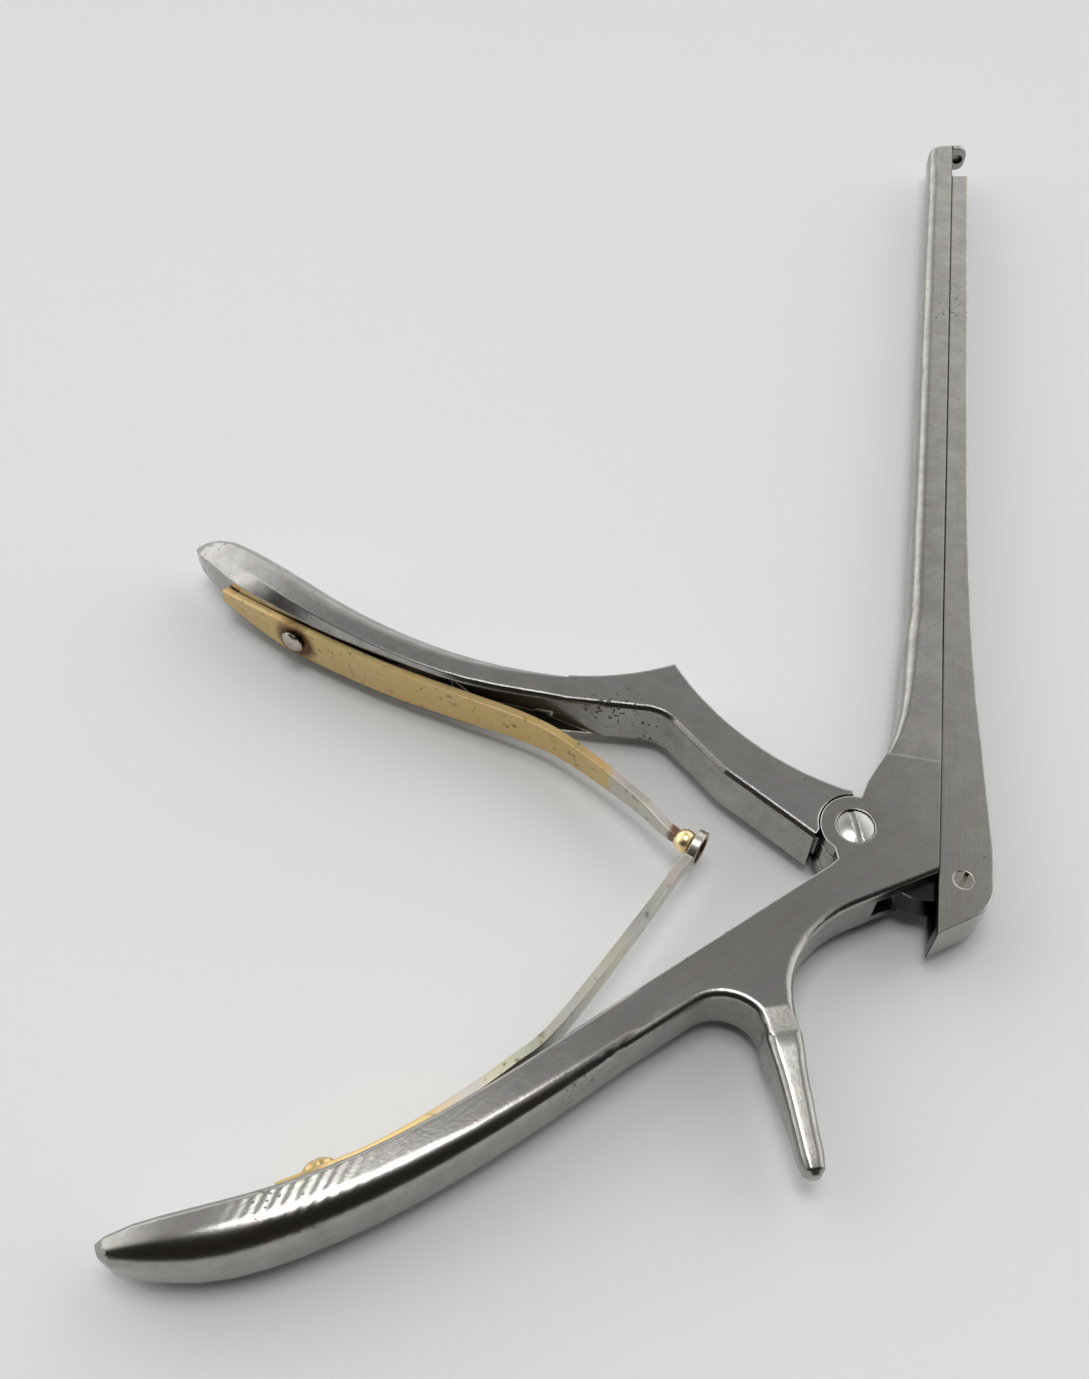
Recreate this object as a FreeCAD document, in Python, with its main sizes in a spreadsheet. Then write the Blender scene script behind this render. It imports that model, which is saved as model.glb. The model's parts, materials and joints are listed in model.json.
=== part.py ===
import FreeCAD, Part
import math
import os

# Bone rongeur with a sliding upper jaw, lying on its side, in millimetres.
# The plan is drawn about the pivot screw: X runs from the grips to the shaft,
# Y runs along the shaft to the jaws, and Z runs along the pivot screw.
# Each piece then takes the same placement, which puts the middle of the
# instrument's footprint at the origin.

V = FreeCAD.Vector

SIZES = [
    ("pivot_x", 46.076, "pivot screw from the middle of the footprint"),
    ("pivot_y", -53.215, "pivot screw from the middle of the footprint"),
    ("pivot_z", 6.246, "middle plane above the surface it lies on"),
    ("slide_line", 12.3, "pivot to the sliding face between rail and slide"),
    ("slide_gap", 0.05, "running gap between rail and slide"),
    ("tip_reach", 185.5, "pivot to the far side of the footplate"),
    ("foot_thickness", 3.3, "footplate, along the shaft"),
    ("bite_opening", 10.6, "open gap between footplate and slide"),
    ("slide_travel", 10.4, "way of the slide from open to closed"),
    ("jaw_slant", 0.8, "how far the jaw faces lean over their height"),
    ("jaw_height", 3.3, "slide and footplate above the sliding face"),
    ("tip_half", 2.6, "half the width of the shaft at the jaws"),
    ("heel_half", 3.7, "half the width of the slide at its heel"),
    ("body_half", 4.5, "half the width of the joint and the handles there"),
    ("grip_half", 6.2, "half the widest width of the grips"),
    ("root_bevel", 0.6, "bevel of the moving handle's inner edges at its root"),
    ("rail_height", 5.1, "rail below the sliding face"),
    ("rail_thinning", 0.2, "how much thinner the rail is at the jaws"),
    ("rail_round", 1.9, "rounding of the rail's back edges"),
    ("foot_round", 1.7, "rounding of the footplate's outer edges"),
    ("ear_radius", 5.2, "round cheek about the pivot screw"),
    ("ear_gap", 0.25, "cheek to the moving handle's shoulder"),
    ("hub_gap", 0.4, "tongue to the end of the frame's slot"),
    ("tongue_half", 2.2, "half the width of the tongue and tang"),
    ("tongue_gap", 0.12, "tongue to each cheek"),
    ("drive_x", 15.9, "drive screw beside the pivot"),
    ("drive_y", -5.5, "drive screw along the shaft, at rest"),
    ("drive_radius", 1.4, "drive screw"),
    ("fork_gap", 0.25, "drive screw to each prong of the fork"),
    ("fork_lip", 0.9, "prongs beyond the middle of the drive screw"),
    ("fork_half", 2.8, "half the height of the fork"),
    ("pin_gap", 0.03, "running gap of a screw in its bore"),
    ("pivot_radius", 2.0, "shank of the pivot screw"),
    ("pivot_head_radius", 2.75, "head of the pivot screw"),
    ("pivot_head_depth", 1.3, "counterbore of the pivot screw"),
    ("pivot_dome", 0.35, "rise of the pivot screw's head over the cheek"),
    ("pivot_recess", 0.3, "pivot screw's end below the lower cheek"),
    ("slot_width", 0.6, "driver slots"),
    ("slot_depth", 0.7, "driver slots"),
    ("spur_round", 1.2, "rounding of the spur and the web"),
    ("spur_half", 2.1, "half the width of the spur at its tip"),
    ("spur_tip_radius", 1.75, "tip of the spur"),
    ("web_radius", 6.0, "web between spur and fixed handle"),
    ("lug_width", 1.6, "neck of the slide's guide lugs"),
    ("lug_head", 3.0, "head of the slide's guide lugs"),
    ("lug_neck", 1.0, "height of the neck"),
    ("lug_thickness", 1.1, "height of the head"),
    ("lug_length", 6.0, "guide lugs, along the shaft"),
    ("lug_gap", 0.08, "guide lugs to their groove"),
    ("front_lug", 146.0, "pivot to the front guide lug"),
    ("rear_lug", 34.0, "pivot to the rear guide lug"),
    ("entry_length", 6.6, "opening where a lug drops into its groove"),
    ("cup_radius", 1.1, "hollow in the jaw faces"),
    ("cup_depth", 0.9, "hollow in the jaw faces"),
    ("leaf_thickness", 1.3, "leaf springs"),
    ("leaf_butt", 0.8, "upper leaf at its screw, where it is thinner"),
    ("leaf_half", 3.5, "half the width of the leaf springs"),
    ("leaf_gap", 0.35, "leaf springs to the bottom of their channels"),
    ("leaf_side_gap", 0.4, "leaf springs to the sides of their channels"),
    ("upper_flex", 7.3, "how far the upper leaf turns as the jaws close"),
    ("lower_flex", 5.6, "how far the lower leaf turns as the jaws close"),
    ("leaf_screw_radius", 1.3, "shank of the leaf screws"),
    ("leaf_hole_gap", 0.26, "leaf screw's shank in the leaf"),
    ("leaf_head_gap", 0.45, "heads of the leaf screws over their leaves"),
    ("round_head_radius", 2.0, "round head of the upper leaf's screw"),
    ("round_head_height", 1.1, "round head of the upper leaf's screw"),
    ("slotted_head_radius", 2.3, "slotted head of the lower leaf's screw"),
    ("slotted_head_height", 1.6, "slotted head of the lower leaf's screw"),
    ("leaf_screw_depth", 3.2, "leaf screws in the handles"),
    ("ball_radius", 1.85, "ball on the upper leaf"),
    ("ball_seat", 2.0, "ball's centre to the middle of the lower leaf"),
    ("ball_lead", 0.25, "ball's centre beyond the middle of the round end, at rest"),
    ("eyelet_radius", 2.9, "round end of the lower leaf"),
    ("eyelet_hole", 2.0, "hole in the round end"),
    ("tail_half", 0.8, "half the width of the leaf's tail in the ball"),
]

# Where the curved outlines run, seen from above about the pivot screw.
FINGER_REST = (-29.8, 24.5)
NOTCH_CORNER = (-2.2, -6.0)
WEB_CORNER = (-12.8, -25.6)
WEB_END = (-28.0, -40.4)
SPUR_ROOT = [(-9.6, -35.0), (-5.3, -33.6)]
SPUR_TIP = (-2.2, -49.6)
UPPER_LEAF_ROUTE = [(-105.0, 28.0), (-91.0, 21.4), (-76.0, 16.7), (-62.0, 13.7),
                    (-51.0, 11.4), (-43.0, 8.3), (-32.0, 1.6), (-26.6, -2.7)]
LOWER_LEAF_ROUTE = [(-68.0, -66.6), (-62.9, -63.8), (-57.1, -59.8), (-49.8, -53.3),
                    (-42.0, -44.7), (-37.0, -37.9), (-27.6, -18.5), (-24.2, -10.8)]
UPPER_SCREW_STEP = 1
LOWER_SCREW_STEP = 1
PIVOT_SLOT_TURN = 107
DRIVE_SLOT_TURN = 66
LEAF_SLOT_TURN = 74
EYELET_CENTRE = (-22.3, -5.7)

doc = FreeCAD.newDocument("BoneRongeur")
sheet = doc.addObject("Spreadsheet::Sheet", "Sizes")
for row, (alias, value, note) in enumerate(SIZES, start=1):
    sheet.set("A%d" % row, str(value))
    sheet.setAlias("A%d" % row, alias)
    sheet.set("B%d" % row, note)
doc.recompute()


def mm(alias):
    """The value of one size in the sheet."""
    return float(sheet.get(alias))


def turned(point, degrees, centre=(0.0, 0.0)):
    """A plan point turned about a centre."""
    angle = math.radians(degrees)
    x = point[0] - centre[0]
    y = point[1] - centre[1]
    return (centre[0] + x * math.cos(angle) - y * math.sin(angle),
            centre[1] + x * math.sin(angle) + y * math.cos(angle))


def on_circle(radius, degrees, centre=(0.0, 0.0)):
    """A plan point on a circle."""
    return turned((centre[0] + radius, centre[1]), degrees, centre)


def unit(start, end):
    """The direction from one plan point to another."""
    length = math.hypot(end[0] - start[0], end[1] - start[1])
    return ((end[0] - start[0]) / length, (end[1] - start[1]) / length)


def moved(point, direction, distance):
    """A plan point moved along a direction."""
    return (point[0] + direction[0] * distance, point[1] + direction[1] * distance)


def rounded_corner(before, corner, after, radius):
    """Start, middle and end of the arc that rounds a corner."""
    back = unit(corner, before)
    ahead = unit(corner, after)
    half = math.acos(back[0] * ahead[0] + back[1] * ahead[1]) / 2
    reach = radius / math.tan(half)
    inward = unit((0, 0), (back[0] + ahead[0], back[1] + ahead[1]))
    nearest = radius / math.sin(half) - radius
    return (moved(corner, back, reach), moved(corner, inward, nearest),
            moved(corner, ahead, reach))


def route_normals(points):
    """The left-hand normal at each point of a route."""
    normals = []
    for i in range(len(points)):
        before = points[max(i - 1, 0)]
        after = points[min(i + 1, len(points) - 1)]
        along = unit(before, after)
        normals.append((-along[1], along[0]))
    return normals


def offset_route(points, distances):
    """A route moved sideways to its left, by a distance of its own at each point."""
    normals = route_normals(points)
    return [moved(p, n, d) for p, n, d in zip(points, normals, distances)]


def cross_plane(point, outward):
    """A plane across a bar: its x runs along the pivot screw, its y outward."""
    size = math.hypot(outward[0], outward[1])
    x_axis = V(0, 0, 1)
    y_axis = V(outward[0] / size, outward[1] / size, 0)
    z_axis = x_axis.cross(y_axis)
    matrix = FreeCAD.Matrix(x_axis.x, y_axis.x, z_axis.x, point[0],
                            x_axis.y, y_axis.y, z_axis.y, point[1],
                            x_axis.z, y_axis.z, z_axis.z, 0,
                            0, 0, 0, 1)
    return FreeCAD.Placement(matrix)


def new_body(name):
    """A body that takes the common placement of the instrument."""
    body = doc.addObject("PartDesign::Body", name)
    body.Label = name
    body.setExpression("Placement.Base.x", "Sizes.pivot_x")
    body.setExpression("Placement.Base.y", "Sizes.pivot_y")
    body.setExpression("Placement.Base.z", "Sizes.pivot_z")
    return body


def new_sketch(body, name, role, offset=None):
    """An empty sketch on one of the body's origin planes."""
    sketch = body.newObject("Sketcher::SketchObject", name)
    for feature in body.Origin.OriginFeatures:
        if feature.Role == role:
            sketch.AttachmentSupport = (feature, [""])
    sketch.MapMode = "FlatFace"
    if offset is not None:
        sketch.AttachmentOffset = offset
    return sketch


def draw(sketch, start, steps):
    """Draws a closed outline of lines, arcs and free curves."""
    here = V(start[0], start[1], 0)
    for step in steps:
        points = [V(p[0], p[1], 0) for p in step[1:]]
        if step[0] == "line":
            sketch.addGeometry(Part.LineSegment(here, points[0]), False)
        elif step[0] == "arc":
            sketch.addGeometry(Part.Arc(here, points[0], points[1]), False)
        else:
            curve = Part.BSplineCurve()
            curve.interpolate([here] + points)
            sketch.addGeometry(curve, False)
        here = points[-1]
    first = V(start[0], start[1], 0)
    if here.distanceToPoint(first) > 1e-6:
        sketch.addGeometry(Part.LineSegment(here, first), False)


def outline(body, name, role, start, steps, offset=None):
    """A sketch with one closed outline."""
    sketch = new_sketch(body, name, role, offset)
    draw(sketch, start, steps)
    return sketch


def circle(body, name, role, centre, radius, offset=None):
    """A sketch with one circle."""
    sketch = new_sketch(body, name, role, offset)
    sketch.addGeometry(Part.Circle(V(centre[0], centre[1], 0), V(0, 0, 1), radius), False)
    return sketch


def settle(feature):
    """Recomputes, and stops if the feature failed."""
    doc.recompute()
    if "Invalid" in feature.State or "Error" in feature.State:
        raise RuntimeError("%s failed" % feature.Label)
    return feature


def pad(body, name, sketch, length):
    """A pad to both sides of its sketch, its length bound to the sheet."""
    feature = body.newObject("PartDesign::Pad", name)
    feature.Profile = sketch
    feature.SideType = "Symmetric"
    feature.setExpression("Length", length)
    return settle(feature)


def pocket(body, name, sketch, length=None):
    """A pocket to both sides of its sketch, through everything if no length is given."""
    before = body.Shape.Volume
    feature = body.newObject("PartDesign::Pocket", name)
    feature.Profile = sketch
    feature.SideType = "Symmetric"
    if length is None:
        feature.Type = "ThroughAll"
    else:
        feature.setExpression("Length", length)
    settle(feature)
    if body.Shape.Volume >= before - 1e-6:
        raise RuntimeError("pocket %s cuts nothing" % name)
    return feature


def one_sided_pocket(body, name, sketch, length, backwards):
    """A pocket to one side of its sketch."""
    before = body.Shape.Volume
    feature = body.newObject("PartDesign::Pocket", name)
    feature.Profile = sketch
    feature.Reversed = backwards
    feature.setExpression("Length", length)
    settle(feature)
    if body.Shape.Volume >= before - 1e-6:
        raise RuntimeError("pocket %s cuts nothing" % name)
    return feature


def loft(body, name, sketches):
    """A loft with straight runs from each sketch to the next."""
    feature = body.newObject("PartDesign::AdditiveLoft", name)
    feature.Profile = sketches[0]
    feature.Sections = sketches[1:]
    feature.Ruled = True
    return settle(feature)


def filled_in(stations, spacing):
    """Stations with smooth values put between them, so that a loft turns in small steps.

    A station is a list of numbers that starts with its place in plan, and the spacing
    is the longest step in plan."""
    distances = [0.0]
    for before, after in zip(stations, stations[1:]):
        step = math.hypot(after[0] - before[0], after[1] - before[1])
        distances.append(distances[-1] + step)
    places = [distances[0]]
    for before, after in zip(distances, distances[1:]):
        parts = math.ceil((after - before) / spacing)
        places += [before + (after - before) * i / parts for i in range(1, parts + 1)]
    columns = []
    for values in zip(*stations):
        curve = Part.BSplineCurve()
        points = [V(d, value, 0) for d, value in zip(distances, values)]
        curve.interpolate(Points=points, Parameters=distances)
        columns.append([curve.value(place).y for place in places])
    return list(zip(*columns))


def fillet(body, name, chosen, radius):
    """A fillet on the edges of the body that a test picks out."""
    base = body.Tip
    edges = ["Edge%d" % (i + 1) for i, e in enumerate(base.Shape.Edges) if chosen(e)]
    feature = body.newObject("PartDesign::Fillet", name)
    feature.Base = (base, edges)
    feature.setExpression("Radius", radius)
    return settle(feature)


def chamfer(body, name, chosen, size):
    """A chamfer on the edges of the body that a test picks out."""
    base = body.Tip
    edges = ["Edge%d" % (i + 1) for i, e in enumerate(base.Shape.Edges) if chosen(e)]
    feature = body.newObject("PartDesign::Chamfer", name)
    feature.Base = (base, edges)
    feature.setExpression("Size", size)
    return settle(feature)


def beside_wall(shape, edge):
    """True for an edge, not upright itself, at the top or foot of an upright face."""
    if edge.BoundBox.ZMin * edge.BoundBox.ZMax <= 0:
        return False
    middle = edge.valueAt((edge.FirstParameter + edge.LastParameter) / 2)
    for face in shape.ancestorsOfType(edge, Part.Face):
        u, v = face.Surface.parameter(middle)
        if abs(face.normalAt(u, v).z) < 0.01:
            return True
    return False


def bar_section(body, name, point, outward, half, height, rounding, bevel_in, bevel_up):
    """One section of a grip or rail: flat and bevelled inside, rounded outside."""
    flat = half - bevel_in
    top = height - rounding
    side = half - rounding
    corner = rounding * math.sqrt(0.5)
    sketch = new_sketch(body, name, "XY_Plane", cross_plane(point, outward))
    draw(sketch, (-flat, 0), [
        ("line", (flat, 0)),
        ("line", (half, bevel_up)),
        ("line", (half, top)),
        ("arc", (side + corner, top + corner), (side, height)),
        ("line", (-side, height)),
        ("arc", (-side - corner, top + corner), (-half, top)),
        ("line", (-half, bevel_up)),
    ])
    return sketch


def rounded_section(body, name, centre, outward, deep, wide, rounding):
    """One section of a bar with four rounded corners, about its middle."""
    corner = rounding * (1 - math.sqrt(0.5))
    inner_wide = wide - rounding
    inner_deep = deep - rounding
    sketch = new_sketch(body, name, "XY_Plane", cross_plane(centre, outward))
    draw(sketch, (-inner_wide, -deep), [
        ("line", (inner_wide, -deep)),
        ("arc", (wide - corner, -deep + corner), (wide, -inner_deep)),
        ("line", (wide, inner_deep)),
        ("arc", (wide - corner, deep - corner), (inner_wide, deep)),
        ("line", (-inner_wide, deep)),
        ("arc", (-wide + corner, deep - corner), (-wide, inner_deep)),
        ("line", (-wide, -inner_deep)),
        ("arc", (-wide + corner, -deep + corner), (-inner_wide, -deep)),
    ])
    return sketch


def shaft_half(y):
    """Half the width of rail and slide at one distance from the pivot."""
    heel = -15.0
    share = (y - heel) / (mm("tip_reach") - heel)
    return mm("heel_half") + (mm("tip_half") - mm("heel_half")) * share


def width_taper(body, name, y_end, x_middle):
    """Trims a bar along Y to the straight taper of the shaft, on both sides."""
    y_start = -25.0
    clear = 12.0
    for side, word in ((1, "Top"), (-1, "Under")):
        sketch = outline(body, name + word, "YZ_Plane", (y_start, side * shaft_half(y_start)), [
            ("line", (y_end, side * shaft_half(y_end))),
            ("line", (y_end, side * clear)),
            ("line", (y_start, side * clear)),
        ])
        pocket(body, name + word + "Cut", sketch)


def lug_grooves(body):
    """T-shaped grooves in the rail for the slide's guide lugs."""
    face = mm("slide_line")
    gap = mm("lug_gap")
    neck_floor = face - mm("lug_neck") - gap
    head_floor = face - mm("lug_neck") - mm("lug_thickness") - 2 * gap
    above = face + 1.0
    for alias, word in (("front_lug", "Front"), ("rear_lug", "Rear")):
        rear_end = mm(alias) - gap
        front_end = mm(alias) + mm("lug_length") + mm("slide_travel") + mm("lug_gap") * 3
        entry_end = rear_end - mm("entry_length")
        neck = outline(body, word + "Neck", "XY_Plane", (neck_floor - 0.2, rear_end), [
            ("line", (above, rear_end)),
            ("line", (above, front_end)),
            ("line", (neck_floor - 0.2, front_end)),
        ])
        pocket(body, word + "NeckGroove", neck, "Sizes.lug_width + 2 * Sizes.lug_gap")
        head = outline(body, word + "Head", "XY_Plane", (head_floor, rear_end), [
            ("line", (neck_floor + 2 * gap, rear_end)),
            ("line", (neck_floor + 2 * gap, front_end)),
            ("line", (head_floor, front_end)),
        ])
        pocket(body, word + "HeadGroove", head, "Sizes.lug_head + 2 * Sizes.lug_gap")
        entry = outline(body, word + "Entry", "XY_Plane", (head_floor, entry_end), [
            ("line", (above, entry_end)),
            ("line", (above, rear_end)),
            ("line", (head_floor, rear_end)),
        ])
        pocket(body, word + "EntryPocket", entry, "Sizes.lug_head + 2 * Sizes.lug_gap")


def jaw_edge(y_root):
    """The two ends of a jaw face that starts at a height on the sliding face."""
    face = mm("slide_line")
    return (face, y_root), (face + mm("jaw_height"), y_root + mm("jaw_slant"))


def jaw_cup(body, name, y_root):
    """A round hollow in a jaw face, cut along the shaft from both sides of its sketch."""
    low, high = jaw_edge(y_root)
    middle = ((low[0] + high[0]) / 2, (low[1] + high[1]) / 2)
    face_direction = unit(low, high)
    plane = cross_plane(middle, face_direction)
    sketch = circle(body, name, "XY_Plane", (0, 0), mm("cup_radius"), plane)
    pocket(body, name + "Pocket", sketch, "2 * Sizes.cup_depth")


def fork_reach():
    """The pivot to the ends of the prongs."""
    return math.hypot(mm("drive_x"), mm("drive_y")) + mm("fork_lip")


def tang_points():
    """The tang's outline in plan, at rest: its top line, fork and lower heel."""
    lean = math.degrees(math.atan2(mm("drive_y"), mm("drive_x")))
    reach = fork_reach()
    half = mm("fork_half")
    local = [(3.4, 3.9), (reach - 1.0, half), (reach, half - 0.9), (reach, -half + 0.9),
             (reach - 0.9, -half), (15.6, -3.1), (14.4, -4.7), (11.4, -5.8), (1.0, -5.1)]
    return [turned(p, lean) for p in local]


def drive_lean(y):
    """The direction of the drive screw from the pivot, in degrees."""
    return math.degrees(math.atan2(y, mm("drive_x")))


def handle_travel():
    """How far the moving handle turns from open to closed, in degrees."""
    return drive_lean(mm("drive_y") + mm("slide_travel")) - drive_lean(mm("drive_y"))


def channel_outline(body, name, floor, mouth):
    """The plan of a channel: a smooth floor and a mouth past the handle's face."""
    return outline(body, name, "XY_Plane", floor[0], [
        tuple(["curve"] + floor[1:]),
        ("line", mouth[0]),
        ("line", mouth[1]),
    ])


def screw_frame(route, step, side):
    """Where a leaf screw stands and the direction in which its head points."""
    normal = route_normals(route)[step]
    away = (normal[0] * side, normal[1] * side)
    return route[step], away


def make_frame():
    """Rail, footplate, joint cheeks, fixed handle and spur in one forging."""
    body = new_body("frame")
    make_footplate(body)
    make_rail(body)
    make_joint_plate(body)
    make_spur(body)
    make_fixed_grip(body)
    cut_tongue_slot(body)
    cut_pivot_bore(body)
    lug_grooves(body)
    return body


def make_rail(body):
    """The bar under the slide, lofted from the footplate back to the joint."""
    face = mm("slide_line")
    half = mm("body_half")
    high = mm("rail_height")
    thin = high - mm("rail_thinning")
    round_end = mm("rail_round")
    joined = 45.0
    front = mm("tip_reach") - 9.5
    edge = 0.02
    end = [
        bar_section(body, "RailStart", (face, joined), (-1, 0), shaft_half(joined),
                    high + 0.2, round_end, edge, edge),
        bar_section(body, "RailEnd", (face, front), (-1, 0), shaft_half(front),
                    thin, round_end, edge, edge),
    ]
    loft(body, "Rail", end)
    stations = [
        (face, joined, shaft_half(joined), high + 0.2, round_end),
        (face, 27.0, half - 0.5, high + 1.0, 1.6),
        (face, 18.0, half - 0.15, high + 2.1, 1.0),
        (face, 12.0, half, high + 4.0, 0.5),
    ]
    shoulder = []
    for i, (x, y, width, height, rounding) in enumerate(filled_in(stations, 5.0)):
        shoulder.append(bar_section(body, "Shoulder%02d" % i, (x, y), (-1, 0), width, height,
                                    rounding, edge, edge))
    loft(body, "RailShoulder", shoulder)


def make_joint_plate(body):
    """The flat forging about the pivot, down to the web of the spur."""
    face = mm("slide_line")
    ear = mm("ear_radius")
    web = rounded_corner(WEB_END, WEB_CORNER, SPUR_ROOT[0], mm("web_radius"))
    plate = outline(body, "JointPlan", "XY_Plane", (face, 14.0), [
        ("line", (face, -5.2)),
        ("line", (0.5, -13.2)),
        ("curve", (-4.7, -18.8), (-6.9, -25.0), (-6.7, -29.0), SPUR_ROOT[1]),
        ("line", SPUR_ROOT[0]),
        ("line", web[2]),
        ("arc", web[1], web[0]),
        ("line", WEB_END),
        ("line", moved(WEB_END, (-0.707, 0.707), 6.0)),
        ("line", (-3.2, -7.3)),
        ("line", NOTCH_CORNER),
        ("line", on_circle(ear, 238)),
        ("arc", on_circle(ear, 161), on_circle(ear, 84)),
        ("line", (1.3, 8.3)),
        ("arc", (2.5, 10.9), (3.9, 14.0)),
    ])
    pad(body, "JointPlate", plate, "2 * Sizes.body_half")

    def plate_edge(edge):
        box = edge.BoundBox
        front = box.YMax < -13.19 and box.XMin > -20.5
        palm = box.XMin < -27.9 and box.XMax > -21.0 and box.YMax < -30.0
        return beside_wall(body.Tip.Shape, edge) and (front or palm)

    fillet(body, "PlateRound", plate_edge, "Sizes.spur_round")


def make_spur(body):
    """The spur below the joint, lofted through rounded sections."""
    tip = mm("spur_tip_radius")
    thin = mm("spur_half")
    rounding = mm("spur_round")
    middle = ((SPUR_ROOT[0][0] + SPUR_ROOT[1][0]) / 2, (SPUR_ROOT[0][1] + SPUR_ROOT[1][1]) / 2)
    along = unit(middle, SPUR_TIP)
    length = math.hypot(SPUR_TIP[0] - middle[0], SPUR_TIP[1] - middle[1])
    across = (-along[1], along[0])
    half = mm("body_half")
    slope = FreeCAD.Rotation(V(along[0], along[1], 0), V(0, 0, 1), V(along[1], -along[0], 0), "XYZ")
    plane = FreeCAD.Placement(V(middle[0], middle[1], 0), slope)
    for side, word in ((1, "Top"), (-1, "Under")):
        slant = outline(body, "RootSlant" + word, "XY_Plane", (-4.0, side * half), [
            ("line", (0.5, side * (half - 0.6))),
            ("line", (0.5, side * (half + 1.0))),
            ("line", (-4.0, side * (half + 1.0))),
        ], plane)
        pocket(body, "RootSlant" + word + "Cut", slant, "13")
    stations = [
        (-3.0, 0.0, tip + 0.3, half - 1.1, rounding),
        (0.0, 0.0, tip + 0.75, half - 0.35, rounding),
        (length * 0.25, 0.0, tip + 0.35, half - 0.95, rounding),
        (length * 0.55, 0.0, tip + 0.15, thin + 0.9, rounding),
        (length - 1.0, 0.0, tip, thin, rounding),
        (length + 1.0, 0.0, tip * 0.8, thin * 0.8, rounding * 0.8),
        (length + tip, 0.0, tip * 0.4, thin * 0.4, rounding * 0.4),
    ]
    sections = []
    for i, (place, shift, deep, wide, corner) in enumerate(filled_in(stations, 2.5)):
        centre = moved(middle, along, place)
        sections.append(rounded_section(body, "Spur%02d" % i, centre, across, deep, wide, corner))
    loft(body, "Spur", sections)


def make_footplate(body):
    """The hooked end of the rail that the slide closes on."""
    reach = mm("tip_reach")
    low, high = jaw_edge(reach - mm("foot_thickness"))
    back = mm("slide_line") - mm("rail_height") + mm("rail_thinning")
    rear = reach - 17.5
    back_corner = (back, reach - 2.2)
    front_corner = (high[0], reach + 0.4)
    hook = rounded_corner((back, rear), back_corner, front_corner, 3.5)
    nose = rounded_corner(back_corner, front_corner, high, mm("foot_round") + 0.1)
    plan = outline(body, "FootPlan", "XY_Plane", (low[0], rear), [
        ("line", low),
        ("line", high),
        ("line", nose[2]),
        ("arc", nose[1], nose[0]),
        ("line", hook[2]),
        ("arc", hook[1], hook[0]),
        ("line", (back, rear)),
    ])
    pad(body, "Foot", plan, "2 * Sizes.tip_half")

    def outer_edge(edge):
        box = edge.BoundBox
        inner = box.XMin > low[0] - 0.01 and box.YMax < high[1] + 0.01
        return box.ZLength < 0.01 and box.YMax > rear + 0.01 and not inner

    fillet(body, "FootRound", outer_edge, "Sizes.foot_round")
    jaw_cup(body, "FootCup", reach - mm("foot_thickness"))


def grip_loft(body, name, stations, outward):
    """A curved grip. Each station has its place, its slope in degrees, then half its width,
    its height, the rounding of its back, and its bevel inward and upward."""
    sections = []
    for i, (x, y, slope, width, height, rounding, bevel_in, bevel_up) in enumerate(
            filled_in(stations, 5.5)):
        sections.append(bar_section(body, "%s%02d" % (name, i), (x, y), turned(outward, slope),
                                    width, height, rounding, bevel_in, bevel_up))
    loft(body, name, sections)


def make_fixed_grip(body):
    """The curved palm grip, lofted through sections across it, with the leaf's channel."""
    wide = mm("grip_half")
    half = mm("body_half")
    root = (-20.0, -24.2, 45, half - 0.3, 5.6, 1.6, 0.3, 0.3)
    neck = (-35.0, -39.1, 44, 4.9, 6.1, 2.1, 0.3, 0.3)
    hollow = (-55.0, -58.0, 38, wide - 0.4, 6.4, 3.4, 0.4, 0.4)
    palm = (-67.0, -66.3, 30, wide, 6.9, 4.2, 0.5, 0.5)
    heel = (-77.5, -71.4, 23, wide - 0.3, 6.8, 4.2, 0.6, 0.6)
    taper = (-83.5, -74.1, 25, 4.9, 5.2, 3.2, 0.5, 0.5)
    nose = (-86.8, -75.8, 28, 3.3, 3.4, 2.0, 0.4, 0.4)
    end = (-88.1, -76.5, 30, 1.5, 1.6, 0.9, 0.2, 0.2)
    grip_loft(body, "FixedGrip", [root, neck, hollow, palm, heel, taper, nose, end], (0, -1))
    flexed = lower_leaf_flexed()
    gap = mm("leaf_gap")
    floor = [moved(p, n, -gap) for p, n in zip(flexed, route_normals(flexed))][:7]
    past_butt = moved(floor[0], unit(floor[1], floor[0]), 0.8)
    sketch = channel_outline(body, "LowerChannelPlan", [past_butt] + floor[1:],
                             [moved(floor[6], (-0.8, 0.6), 12), moved(floor[0], (-0.5, 0.86), 8)])
    pocket(body, "LowerChannel", sketch, "2 * (Sizes.leaf_half + Sizes.leaf_side_gap)")
    bore_leaf_screw(body, "Lower", LOWER_LEAF_ROUTE, LOWER_SCREW_STEP, 1)


def lower_leaf_flexed():
    """The lower leaf's palm side, at rest behind its screw and flexed beyond it."""
    route = LOWER_LEAF_ROUTE
    centre = route[LOWER_SCREW_STEP]
    flexed = [turned(p, -mm("lower_flex"), centre) for p in route[LOWER_SCREW_STEP + 1:]]
    return route[:LOWER_SCREW_STEP + 1] + flexed


def upper_leaf_flexed():
    """The upper leaf's handle side, at rest behind its screw and flexed beyond it."""
    route = UPPER_LEAF_ROUTE
    centre = route[UPPER_SCREW_STEP]
    flexed = [turned(p, mm("upper_flex"), centre) for p in route[UPPER_SCREW_STEP + 1:]]
    return route[:UPPER_SCREW_STEP + 1] + flexed


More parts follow.
